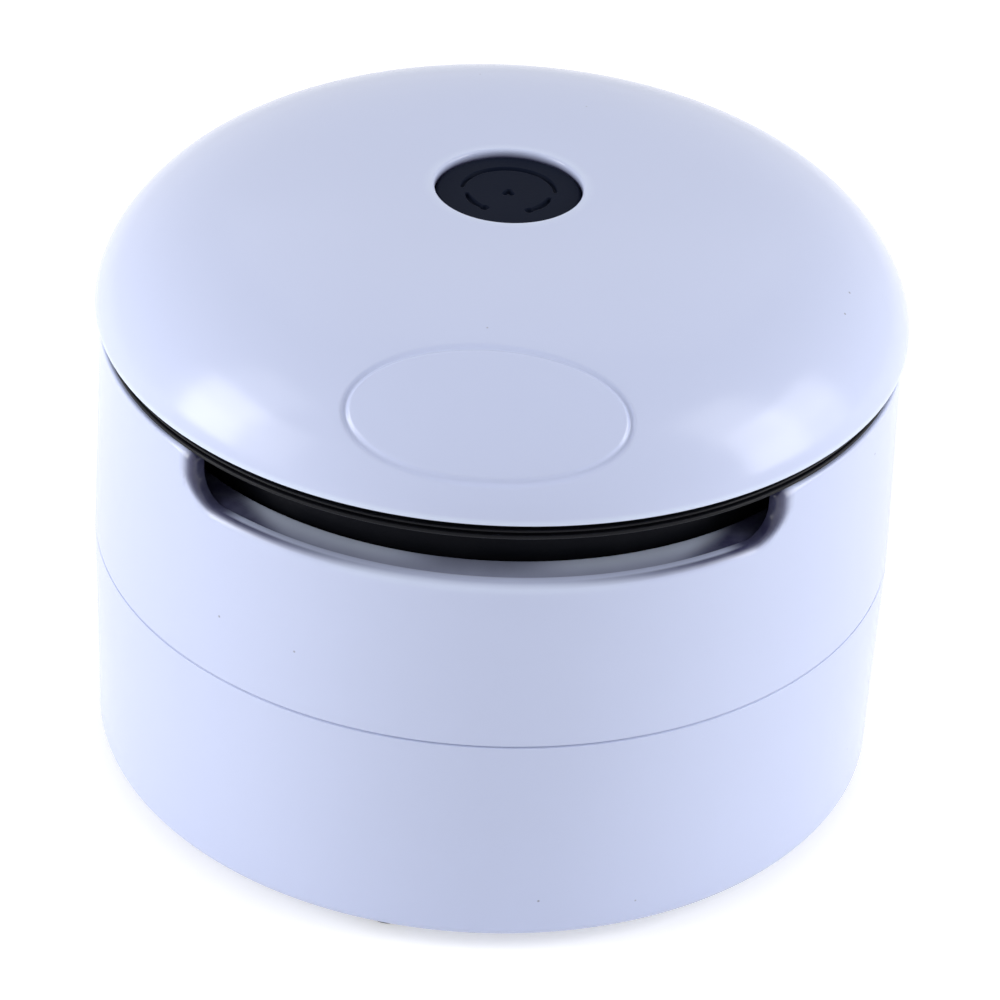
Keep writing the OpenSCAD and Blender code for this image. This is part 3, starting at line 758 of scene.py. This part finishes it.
def edge_stations():
    """Top edge of the wall, laid flat: (x along the rim, z, normal x, normal z, outer rounding).

    It runs from the middle of the notch to the back. Returns the notch floor with its corner, the
    notch's side, the turn up to the rim, and the rim.
    """
    floor = [(x, Z_NOTCH, 0, 1, LIP_ROUND) for x in [0] + spread(0, CORNER_X, FLOOR_STEPS)]
    for a in spread(-math.pi / 2, 0, CORNER_STEPS):
        c, s = math.cos(a), math.sin(a)
        floor.append((CORNER_X + NOTCH_ROUND * c, Z_CORNER + NOTCH_ROUND * s, -c, -s, LIP_ROUND))
    side = [(NOTCH_SIDE, z, -1, 0, LIP_ROUND) for z in spread(Z_CORNER, TURN_Z, SIDE_STEPS)]
    turn = []
    for a in spread(math.pi, math.pi / 2, TURN_STEPS):
        c, s = math.cos(a), math.sin(a)
        turn.append((TURN_X + LIP_ROUND * c, TURN_Z + LIP_ROUND * s, c, s, LIP_ROUND))
    rim = []
    for x in spread(TURN_X, math.pi * FLAT_R, RIM_STEPS):
        fade = max(0.0, 1 - (x - TURN_X) / LIP_FADE) ** 2
        rim.append((x, Z_RIM, 0, 1, SOFT_EDGE + (LIP_ROUND - SOFT_EDGE) * fade))
    return floor, side, turn, rim


def notched_wall():
    """The upper body's wall with its notch and rounded edges, as one closed shell."""
    points, index, faces = [], {}, []

    def vertex(x, z, inset, from_inside):
        radius = BODY_IN_R + inset if from_inside else body_out_r(z) - inset
        back = abs(x) > math.pi * FLAT_R - 1e-7
        key = ("back" if back else round(x, 8), round(z, 8), round(radius, 8))
        if key not in index:
            index[key] = len(points)
            points.append(pol(radius, FRONT + x / FLAT_R, z))
        return index[key]

    def quad(flip, *corners):
        ring = []
        for c in corners:
            if c not in ring:
                ring.append(c)
        if len(ring) > 2:
            faces.append(tuple(reversed(ring)) if flip else tuple(ring))

    def skin(rows, flip):
        """Quads between neighbouring rows of vertices."""
        for low, high in zip(rows, rows[1:]):
            for a, b, c, d in zip(low, high, high[1:], low[1:]):
                quad(flip, a, b, c, d)

    def wall(columns, mirror, from_inside):
        """Skin over upright columns, each (x, heights)."""
        rows = [[vertex(mirror * x, z, 0, from_inside) for z in levels] for x, levels in columns]
        skin(rows, (mirror > 0) == from_inside)

    def across(x_out, x_in, z, nx, nz, outer, inner):
        """Vertices over an edge, from the outer face round to the inner one."""
        angles = [math.pi / 2 * k / OVER_STEPS for k in range(OVER_STEPS + 1)]
        row = []
        for x, r, inside, sweep in ((x_out, outer, False, angles), (x_in, inner, True, angles[::-1])):
            for a in sweep:
                off = r * (math.sin(a) - 1)
                row.append(vertex(x + off * nx, z + off * nz, r * (1 - math.cos(a)), inside))
        return row

    floor, side, turn, rim = edge_stations()
    foot = Z_SEAM_BODY + SEAM_EDGE
    shares = [1 - (1 - k / WALL_STEPS) ** WALL_CROWDING for k in range(WALL_STEPS + 1)]
    levels_beside = [foot + (Z_CORNER - foot) * share for share in shares]
    levels_beside += [station[1] for station in side]
    for mirror in (1, -1):
        top = []
        for x, z, nx, nz, ro in floor + side + turn + rim:
            top.append(across(mirror * x, mirror * x, z, mirror * nx, nz, ro, INNER_EDGE))
        skin(top, mirror < 0)
        feet = {}
        for from_inside in (False, True):
            columns = []
            for x, z, nx, nz, ro in floor:
                r = INNER_EDGE if from_inside else ro
                reach = z - r * nz - foot
                columns.append((x - r * nx, [foot + reach * share for share in shares]))
            wall(columns, mirror, from_inside)
            r = INNER_EDGE if from_inside else LIP_ROUND
            beside = [NOTCH_SIDE + r, TURN_X]
            wall([(x, levels_beside) for x in beside], mirror, from_inside)
            arc = []
            for x, z, nx, nz, ro in side[-1:] + turn:
                arc.append(vertex(mirror * (x - r * nx), z - r * nz, 0, from_inside))
            middle = vertex(mirror * TURN_X, TURN_Z, 0, from_inside)
            for a, b in zip(arc, arc[1:]):
                quad((mirror > 0) == from_inside, b, a, middle)
            solid = []
            for x, z, nx, nz, ro in [turn[-1]] + rim:
                r_here = INNER_EDGE if from_inside else ro
                last = Z_RIM - r_here if r_here < LIP_ROUND else TURN_Z
                solid.append((x, levels_beside + [last]))
            wall(solid, mirror, from_inside)
            feet[from_inside] = [c[0] for c in columns] + beside + [c[0] for c in solid]
        rows = []
        for x_out, x_in in zip(feet[False], feet[True]):
            x_out, x_in = mirror * x_out, mirror * x_in
            rows.append(across(x_out, x_in, Z_SEAM_BODY, 0, -1, SEAM_EDGE, SEAM_EDGE))
        skin(rows, mirror > 0)
    return points, faces


def from_front(point):
    """Angle about the axis between a point and the front, to either side."""
    return abs(math.atan2(point.x, -point.y))


def beside_notch(point):
    """Distance along the rim from the front, and distance into the wall from the notch's edge."""
    x = from_front(point) * FLAT_R
    if x <= CORNER_X:
        return x, Z_NOTCH - point.z
    if point.z < Z_CORNER:
        return x, math.hypot(x - CORNER_X, Z_CORNER - point.z) - NOTCH_ROUND
    return x, x - NOTCH_SIDE


def lip_painted_shade(point):
    """Painted shade on the notch's lip: thin in the middle, strong and wide at its two ends."""
    x, away = beside_notch(point)
    along = min(x / NOTCH_SIDE, 1.0)
    strength = 0.1 + 0.88 * ease(0.15, 0.9, along)
    rise = ease(-0.5 * MM, NOTCH_ROUND, point.z - Z_NOTCH)
    reach = (0.6 + 1.5 * ease(0.7, 1.0, along) * rise) * MM
    shade_left_off = 0.0
    if x <= CORNER_X and away < 0.3 * MM:
        # Painted shade is left off the lip's narrow flat top, so a bright line shows there
        inset = body_out_r(point.z) - math.hypot(point.x, point.y)
        shade_left_off = ease(0.8, 1.0, inset / LIP_ROUND) * (1 - ease(0.88, 1.0, x / CORNER_X))
    return strength * (1 - ease(0.15 * reach, reach, away)) * (1 - shade_left_off)


def lip_painted_highlight(point):
    """Painted highlight where the lip's rounding meets the outer face, in the middle of the notch."""
    x, away = beside_notch(point)
    if body_out_r(point.z) - math.hypot(point.x, point.y) > 0.6 * LIP_ROUND:
        return 0.0
    line = math.exp(-((away - 0.45 * MM) / (0.45 * MM)) ** 2)
    return 0.55 * line * (1 - ease(0.35, 0.6, x / NOTCH_SIDE))


def on_ledge(point):
    """Degrees from the front, and place across the ledge from 0 at its inner edge to 1 at the wall."""
    r = math.hypot(point.x, point.y)
    return math.degrees(from_front(point)), (r - LEDGE_R) / (BODY_IN_R - LEDGE_R)


def ledge_painted_shade(point):
    """Painted shade on the ledge: even in front, then mostly along its outer side, and black at its ends.
    """
    a, out = on_ledge(point)
    painted_amount = 0.5 - 0.5 * ease(4, 14, a) * (1 - ease(0.2, 1.1, out))
    end = ease(-6.0, 3.0, a - (41.0 - 8.5 * out))
    return painted_amount + (0.98 - painted_amount) * end


def ledge_painted_light(point):
    """Painted light: paler beside the drum, to the left and right of the middle."""
    a, out = on_ledge(point)
    return 0.9 * ease(6, 18, a) * (1 - ease(0.3, 1.0, out))


def make_ledge():
    """Ring inside the wall, below the notch, that the outlet air passes over."""
    top = Z_NOTCH - LEDGE_DROP
    soft = INNER_SOFT
    outer = BODY_IN_R + soft
    outline = [(outer + (LEDGE_R + soft - outer) * i / LEDGE_STEPS, top) for i in range(LEDGE_STEPS + 1)]
    for a in spread(0, math.pi / 2, 4):
        outline.append((LEDGE_R + soft * (1 - math.sin(a)), top - soft * (1 - math.cos(a))))
    outline.append((LEDGE_R, top - LEDGE_T + soft))
    outline.append((LEDGE_R + soft, top - LEDGE_T))
    outline.append((outer, top - LEDGE_T))
    shell = turned([Vector(p) for p in outline])
    ledge = add_piece("outlet_ledge", [shell], "shell", "root")
    # Painted shade over the ledge, darkest at its ends, and painted light beside the drum
    lay(ledge, "painted_shade", ledge_painted_shade)
    lay(ledge, "painted_light", ledge_painted_light)


def on_thread(z, turn):
    """Height as a function of the angle, climbing as the thread does from z at an angle of turn."""
    return lambda a: z + THREAD_LEAD * (a - turn) / math.tau


def make_upper_body():
    shells = [notched_wall()]
    for turn in even_angles(LUG_COUNT):
        shells.append(helical_block(
            RIB_R, BODY_IN_R + INNER_SOFT, on_thread(Z_RIB, turn),
            LUG_T, turn + RIB_FROM, turn + RIB_TO, RIB_STEPS, FINE_SOFT,
        ))
    body = add_piece("upper_shell", shells, "shell", "root", ["upper_body"])
    # Painted shade on the notch's lip, and a painted highlight line along it
    lay(body, "painted_shade", lip_painted_shade)
    lay(body, "painted_light", lip_painted_highlight)


# ---- dust cup

CUP_EDGE = 1.2 * MM
SEAM_DEPTH = 0.13 * MM
BRUSH_R = 20 * MM
BRUSH_W = 6 * MM
BRUSH_H = 4.5 * MM
CHANNEL_SKIN = 1.5 * MM
DUCT_HOLE = (11 + 1.6 + 0.02) * MM  # the duct's bore, its wall and a gap
FLOOR_ROUND = 1.0 * MM
Z_STEP = Z_SEAM_BODY - 0.03 * MM  # top of the step that the upper body stands on


def make_dust_cup():
    floor = Z_CUP + WALL
    channel = Z_CUP + BRUSH_H
    out_r = BRUSH_R + BRUSH_W
    low_r = SHELL_R - DRAFT
    soft = INNER_SOFT
    outline = rounded([
        (DUCT_HOLE, Z_CUP, soft),
        (BRUSH_R, Z_CUP, soft),
        (BRUSH_R, channel, soft),
        (out_r, channel, soft),
        (out_r, Z_CUP, soft),
        (low_r, Z_CUP, CUP_EDGE),
        (SHELL_R, Z_SEAM_CUP, SEAM_EDGE),
        (SHELL_R - SEAM_DEPTH, Z_SEAM_CUP, 0),
        (SHELL_R - SEAM_DEPTH, Z_STEP, 0),
        (COLLAR_R, Z_STEP, soft),
        (COLLAR_R, Z_COLLAR, soft),
        (COLLAR_IN_R, Z_COLLAR, soft),
        (COLLAR_IN_R, Z_SEAM_CUP - WALL, soft),
        (SHELL_R - WALL, Z_SEAM_CUP - WALL, soft),
        (low_r - WALL, floor, FLOOR_ROUND),
        (out_r + CHANNEL_SKIN, floor, soft),
        (out_r + CHANNEL_SKIN, channel + CHANNEL_SKIN, soft),
        (BRUSH_R - CHANNEL_SKIN, channel + CHANNEL_SKIN, soft),
        (BRUSH_R - CHANNEL_SKIN, floor, soft),
        (DUCT_HOLE, floor, soft),
    ], 6)
    shells = [turned(outline)]
    lug_top = Z_RIB + LUG_LIFT + LUG_T + THREAD_LEAD * LUG_TURN / 360
    for turn in even_angles(LUG_COUNT):
        turn += LUG_AT
        climb = on_thread(lug_top, turn)
        shells.append(helical_block(
            COLLAR_R - soft, LUG_R, lambda a, climb=climb: min(climb(a), Z_COLLAR),
            LUG_T, turn - LUG_HALF, turn + LUG_HALF, LUG_STEPS, FINE_SOFT,
        ))
    add_piece("cup_shell", shells, "shell", "cup", ["dust_cup"])


# ---- push button

BUTTON_EDGE = 0.45 * MM
BUTTON_PLATE = 1.9 * MM
BUTTON_WALL = 1.2 * MM
SOCKET_R = 1.62 * MM
SOCKET_RIM_R = 2.6 * MM
SOCKET_H = 0.4 * MM
MARK_CUT = 0.42 * MM
MARK_WALL = 0.14 * MM  # width over which a mark's side falls
BACK_ARC = (4.9 * MM, math.radians(90), math.radians(84))  # radius, middle, half of its angle
FRONT_ARC_R = 4.4 * MM
FRONT_ARC_AT = math.radians(54)
FRONT_ARC_HALF = math.radians(23)
ARC_HALF_W = 0.3 * MM
DOT_R = 0.42 * MM
DOT_AT = math.radians(32)
CARET_TIP = (0, 0.2 * MM)
CARET_FOOT = (0.34 * MM, -0.5 * MM)
CARET_HALF_W = 0.24 * MM
FACE_STEP = 0.075 * MM


def from_arc(x, y, radius, middle, half):
    """How far inside an arc of tapering width a point lies; negative outside."""
    off = (math.atan2(y, x) - middle + math.pi) % math.tau - math.pi
    held = max(-half, min(half, off))
    a = middle + held
    away = math.hypot(x - radius * math.cos(a), y - radius * math.sin(a))
    return ARC_HALF_W * (1 - 0.5 * (held / half) ** 2) - away


def from_line(x, y, a, b, width):
    """How far inside a stroke from a to b a point lies."""
    run, rise = b[0] - a[0], b[1] - a[1]
    t = ((x - a[0]) * run + (y - a[1]) * rise) / (run ** 2 + rise ** 2)
    t = max(0.0, min(1.0, t))
    return width - math.hypot(x - a[0] - t * run, y - a[1] - t * rise)


def mark_depth(x, y):
    """Depth of the engraved marks: a back arc, two front arcs that end in dots, a caret in the middle."""
    inside = from_arc(x, y, *BACK_ARC)
    for side in (-1, 1):
        arc = from_arc(x, y, FRONT_ARC_R, FRONT + side * FRONT_ARC_AT, FRONT_ARC_HALF)
        dot = pol(FRONT_ARC_R, FRONT + side * DOT_AT, 0)
        foot = (side * CARET_FOOT[0], CARET_FOOT[1])
        stroke = from_line(x, y, CARET_TIP, foot, CARET_HALF_W)
        inside = max(inside, arc, DOT_R - math.hypot(x - dot.x, y - dot.y), stroke)
    share = max(0.0, min(1.0, 0.5 + inside / MARK_WALL))
    return MARK_CUT * share * share * (3 - 2 * share)


def make_button():
    under = Z_BUTTON - BUTTON_PLATE
    low = button_low[2]
    side = rounded([
        (0, under, 0),
        (SOCKET_R, under, 0),
        (SOCKET_R, under - SOCKET_H, FINE_SOFT),
        (SOCKET_RIM_R, under - SOCKET_H, FINE_SOFT),
        (SOCKET_RIM_R, under, 0),
        (button_r - BUTTON_WALL, under, 0),
        (button_r - BUTTON_WALL, low, FINE_SOFT),
        (button_r, low, FINE_SOFT),
        (button_r, Z_BUTTON, BUTTON_EDGE),
        (0, Z_BUTTON, 0),
    ], 6)
    face_r = button_r - BUTTON_EDGE
    rings = int(face_r / FACE_STEP)
    face = [Vector((face_r * (1 - i / rings), Z_BUTTON)) for i in range(1, rings)]
    outline = side[:-1] + face + side[-1:]
    points, faces = turned_solid(outline)
    for p in points:
        if p.z > Z_BUTTON - 1e-7 and math.hypot(p.x, p.y) < face_r:
            p.z -= mark_depth(p.x, p.y)
    add_piece("button_cap", [(points, faces)], "black_gloss", "button", ["power_button"])


# ---- band

BAND_R = 42.0 * MM
BAND_CROWN = 0.16 * MM
BAND_SUNK = 0.15 * MM
BAND_RIDGES = [(51.12, 51.58), (51.95, 52.25), (52.62, 53.08)]  # lower and upper edge, in millimetres
CROWN_STEPS = 8


def make_band():
    """Rounded crowns on the three ridges of the tray's flange."""
    shells = []
    inner = BAND_R - BAND_SUNK
    for low, high in BAND_RIDGES:
        outline = [(inner, low * MM)]
        for i in range(CROWN_STEPS + 1):
            t = i / CROWN_STEPS
            r = BAND_R + BAND_CROWN * math.sin(math.pi * t) ** 0.6
            outline.append((r, (low + (high - low) * t) * MM))
        outline.append((inner, high * MM))
        shells.append(turned(outline))
    add_piece("band_ridges", shells, "black_moulding", "root")


# ---- feet and brush

FOOT_R = 2.5 * MM
FOOT_DIMPLE = 0.3 * MM
FOOT_NAMES = ("foot_front", "foot_right", "foot_back", "foot_left")


def make_feet():
    for name in FOOT_NAMES:
        low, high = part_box(name)
        middle = Vector(((low[0] + high[0]) / 2, (low[1] + high[1]) / 2, 0))
        outline = rounded([
            (0, low[2] + FOOT_DIMPLE, 0),
            (1.2 * MM, low[2] + FOOT_DIMPLE, 0.3 * MM),
            (1.55 * MM, low[2], 0.25 * MM),
            (FOOT_R - 0.12 * MM, low[2], 0.5 * MM),
            (FOOT_R, high[2], 0),
            (0, high[2], 0),
        ], 5)
        shell = placed(turned_solid(outline, even_angles(72)), Matrix.Translation(middle))
        add_piece("rubber_" + name, [shell], "rubber", body_of(name), [name])


TUFT_ROWS = (21.75, 23.0, 24.25)  # radii in millimetres
TUFT_PITCH = 2.3 * MM
STRANDS = 13
STRAND_R = 0.085 * MM
TUFT_R = 0.5 * MM
GOLDEN_ANGLE = 2.39996


def make_brush():
    """Three rings of splayed nylon tufts."""
    draw = random.Random(11)
    root_z = bristle_high[2] + 0.1 * MM
    tip_z = bristle_low[2]
    shells = []
    for row, row_r in enumerate(TUFT_ROWS):
        count = int(math.tau * row_r * MM / TUFT_PITCH)
        for i in range(count):
            turn = math.tau * (i + 0.5 * (row % 2)) / count
            middle = pol(row_r * MM, turn, root_z)
            for k in range(STRANDS):
                away = TUFT_R * math.sqrt((k + 0.5) / STRANDS)
                where = k * GOLDEN_ANGLE + draw.uniform(-0.2, 0.2)
                foot = Vector((away * math.cos(where), away * math.sin(where), 0))
                lean = foot * draw.uniform(0.25, 0.65)
                drop = tip_z + draw.uniform(0.0, 0.25) * MM - root_z
                path = [
                    middle + foot,
                    middle + foot + lean * 0.4 + Vector((0, 0, drop * 0.5)),
                    middle + foot + lean + Vector((0, 0, drop)),
                ]
                shells.append(swept_wire(path, STRAND_R, 5, 0.75))
    add_piece("brush_tufts", shells, "bristle", body_of("brush_bristles"), ["brush_bristles"])


# ---- cells, contacts, springs

CELL_R = 7.25 * MM
CELL_ANGLES = 120
SLEEVE_T = 0.18 * MM
SLEEVE_END_R = 6.1 * MM  # its opening round the flat end
SLEEVE_NECK_R = 5.4 * MM  # its opening round the nub
SLEEVE_LIP = 0.2 * MM
CAN_STEP = 0.25 * MM
NUB_R = 2.75 * MM
NUB_H = 1.0 * MM
CONTACT_T = 0.4 * MM
CONTACT_W = 9.0 * MM
CONE_R = (3.2 * MM, 2.3 * MM)
CONE_TURNS = 4.25
CONE_WIRE_R = 0.38 * MM
COIL_TURNS = 6
COIL_WIRE_R = 0.18 * MM
HALF_TURN = Matrix.Diagonal((-1, -1, 1, 1))


def lengthways(start, y, z):
    """Turns the axis from up to along X, starting at x = start."""
    return Matrix.Translation((start, y, z)) @ Matrix.Rotation(math.pi / 2, 4, "Y")


def make_cell(name, flip):
    """A cell in its plain sleeve, lying along X; a flipped one points the other way."""
    low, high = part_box(name)
    length = high[0] - low[0]
    shoulder = length - NUB_H
    y, z = (low[1] + high[1]) / 2, low[2] + CELL_R
    at = lengthways(low[0], -y if flip else y, z)
    if flip:
        at = Matrix.Translation((high[0] + low[0], 0, 0)) @ HALF_TURN @ at
    in_r = CELL_R - SLEEVE_T
    can_r = in_r - 0.02 * MM
    fine = 0.05 * MM
    sleeve = rounded([
        (SLEEVE_END_R, 0.06 * MM, fine),
        (CELL_R, 0.06 * MM, 0.7 * MM),
        (CELL_R, shoulder - fine, 0.8 * MM),
        (SLEEVE_NECK_R, shoulder - fine, fine),
        (SLEEVE_NECK_R, shoulder - SLEEVE_LIP, fine),
        (in_r, shoulder - SLEEVE_LIP, 0.6 * MM),
        (in_r, SLEEVE_LIP, 0.5 * MM),
        (SLEEVE_END_R, SLEEVE_LIP, fine),
    ])
    can = rounded([
        (0, 0, 0),
        (5.2 * MM, 0, 0.15 * MM),
        (5.5 * MM, CAN_STEP, 0.1 * MM),
        (can_r, CAN_STEP, 0.6 * MM),
        (can_r, shoulder - CAN_STEP, 0.6 * MM),
        (3.6 * MM, shoulder - CAN_STEP, 0.1 * MM),
        (3.4 * MM, shoulder, 0.1 * MM),
        (NUB_R, shoulder, 0.15 * MM),
        (NUB_R, length, 0.35 * MM),
        (0, length, 0),
    ])
    angles = even_angles(CELL_ANGLES)
    body = body_of(name)
    add_piece(name + "_sleeve", [placed(turned(sleeve, angles), at)], "cell_jacket", body, [name])
    add_piece(name + "_can", [placed(turned_solid(can, angles), at)], "steel", body)


def make_contacts():
    """Each cell's flat end is pushed by a cone of wound wire on a plate."""
    low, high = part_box("spring_contacts")
    y, z = low[1] + CONTACT_W / 2, (low[2] + high[2]) / 2
    wire = CONE_WIRE_R
    start = low[0] + CONTACT_T
    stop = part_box("battery_front")[0][0]
    path = helix(*CONE_R, wire, stop - start - wire, CONE_TURNS)
    cone = swept_wire([lengthways(start, y, z) @ p for p in path], wire, 10)
    half = CONTACT_W / 2
    plate = placed(
        slab(rounded_rectangle(-half, -half, half, half, 1.0 * MM), 0, CONTACT_T, 0.08 * MM),
        lengthways(low[0], y, z),
    )
    shells = [cone, plate, placed(cone, HALF_TURN), placed(plate, HALF_TURN)]
    add_piece("cell_springs", shells, "steel", "root", ["spring_contacts"])


def make_switch_spring():
    low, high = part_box("switch_spring")
    wire = COIL_WIRE_R
    radius = high[0] - wire
    coil = swept_wire(helix(radius, radius, low[2] + wire, high[2] - wire, COIL_TURNS), wire, 8)
    spring = add_piece("switch_coil", [coil], "steel", "root", ["switch_spring"])
    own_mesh(spring)


# Parts on the switch board in millimetres: x, y, length, width, height
BOARD_PARTS = (
    (-11.5, 2.6, 2.6, 1.5, 0.9), (-9.2, -2.4, 2.0, 1.2, 0.55), (-13.2, -2.2, 2.0, 1.2, 0.55),
    (11.0, -2.5, 2.0, 1.2, 0.55), (12.6, 2.4, 3.0, 2.4, 1.1),
)


def board_block(x, y, half_l, half_w, corner, high, edge):
    """Small block on the switch board; x, y and its half sizes are in millimetres."""
    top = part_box("switch_pcb")[1][2]
    sides = [v * MM for v in (x - half_l, y - half_w, x + half_l, y + half_w)]
    return slab(rounded_rectangle(*sides, corner), top - 0.02 * MM, top + high, edge)


def make_board_parts():
    """Small parts soldered on the switch board, beside the switch."""
    chips, pads = [], []
    for x, y, length, width, height in BOARD_PARTS:
        half_l, half_w = length / 2, width / 2
        chips.append(board_block(x, y, half_l, half_w, 0.12 * MM, height * MM, 0.06 * MM))
        for side in (-1, 1):
            end = x + side * (half_l + 0.15)
            pads.append(board_block(end, y, 0.35, half_w, 0.1 * MM, height * 0.45 * MM, 0.08 * MM))
    add_piece("board_chips", chips, "black_moulding", "root")
    add_piece("board_pads", pads, "steel", "root")


# ---- CAD nodes

def dress_nodes():
    """Gives every CAD node the material of its slot."""
    for entry in frame["record"]["subparts"]:
        paint(frame["nodes"][entry["node"]], entry["material_slot"])


# ---- floor, light

WORLD_LIGHT = 0.45
FLOOR_ALBEDO = 0.9
FLOOR_GLOW = 0.42  # lifts the floor to white where a ray sees it, so the shadow stays on it
FLOOR_HALF = 3.0


def seen_rays(tree):
    """One for the rays that see a surface as a picture: camera, gloss and transmission."""
    rays = add_node(tree, "LightPath").outputs
    total = maths(tree, "MAXIMUM", rays["Is Camera Ray"], rays["Is Glossy Ray"])
    return maths(tree, "MAXIMUM", total, rays["Is Transmission Ray"])


def chosen(tree, share, first, second):
    """The first of two shaders where share is 0, the second where it is 1."""
    mix = add_node(tree, "MixShader")
    for source, socket in zip((share, first, second), mix.inputs):
        tree.links.new(source, socket)
    return mix.outputs["Shader"]


def make_floor():
    """White floor that keeps the object's shadow; from below it is clear, to show the underside."""
    mesh = bpy.data.meshes.new("floor")
    corners = [(x * FLOOR_HALF, y * FLOOR_HALF, 0) for x, y in ((-1, -1), (1, -1), (1, 1), (-1, 1))]
    mesh.from_pydata(corners, [], [(0, 1, 2, 3)])
    floor = put("floor", mesh)
    material, tree, shader = new_material("floor_white")
    set_values(shader, {"Base Color": grey(FLOOR_ALBEDO), "Roughness": 0.9, "Specular IOR Level": 0.0})
    glow = add_node(tree, "Emission", Color=grey(1))
    tree.links.new(maths(tree, "MULTIPLY", seen_rays(tree), FLOOR_GLOW), glow.inputs["Strength"])
    both = add_node(tree, "AddShader")
    tree.links.new(shader.outputs["BSDF"], both.inputs[0])
    tree.links.new(glow.outputs["Emission"], both.inputs[1])
    side = add_node(tree, "NewGeometry")
    clear = add_node(tree, "BsdfTransparent")
    sided = chosen(tree, side.outputs["Backfacing"], both.outputs["Shader"], clear.outputs["BSDF"])
    tree.links.new(sided, tree.nodes["Material Output"].inputs["Surface"])
    mesh.materials.append(material)


def background(tree, strength):
    return add_node(tree, "Background", Color=grey(1), Strength=strength).outputs["Background"]


def make_world():
    """Soft light all round, and a white background where it is seen."""
    world = bpy.data.worlds.new("studio")
    bpy.context.scene.world = world
    world.use_nodes = True
    tree = world.node_tree
    tree.nodes.clear()
    out = add_node(tree, "OutputWorld")
    mix = chosen(tree, seen_rays(tree), background(tree, WORLD_LIGHT), background(tree, 1.0))
    tree.links.new(mix, out.inputs["Surface"])


def make_softbox(name, azimuth, elevation, watts, distance, width, height):
    """A softbox that faces the object; azimuth 0 is the front, positive to the right."""
    data = bpy.data.lights.new(name, "AREA")
    data.shape = "RECTANGLE"
    data.size = width
    data.size_y = height
    data.energy = watts
    lamp = put(name, data)
    a, e = math.radians(azimuth), math.radians(elevation)
    place = Vector((math.sin(a) * math.cos(e), -math.cos(a) * math.cos(e), math.sin(e))) * distance
    lamp.location = Vector((0, 0, Z_TOP / 2)) + place
    lamp.rotation_euler = place.to_track_quat("Z", "Y").to_euler()


# Softboxes: azimuth, elevation, watts; then distance, width and height
SIDE_TILES = [
    (-62, 6, 0.40), (-62, 24, 0.46), (-79, 6, 1.38), (-79, 24, 1.30), (-79, 42, 0.33),
    (79, 6, 1.08), (79, 24, 0.98), (79, 42, 0.54), (96, 6, 0.40), (96, 24, 0.67),
]
SIDE_TILE = (0.8, 0.26, 0.27)
BACK_LAMP = (180, 50, 0.37, 0.8, 0.7, 0.5)


def make_studio():
    make_floor()
    make_world()
    for i, tile in enumerate(SIDE_TILES):
        make_softbox("tile_%d" % i, *tile, *SIDE_TILE)
    make_softbox("back_lamp", *BACK_LAMP)


make_camera()
make_studio()
dress_nodes()
make_cap()
make_upper_body()
make_ledge()
make_dust_cup()
make_button()
make_band()
make_feet()
make_brush()
make_cell("battery_front", False)
make_cell("battery_back", True)
make_contacts()
make_switch_spring()
make_board_parts()

bpy.context.scene.view_settings.view_transform = "Standard"
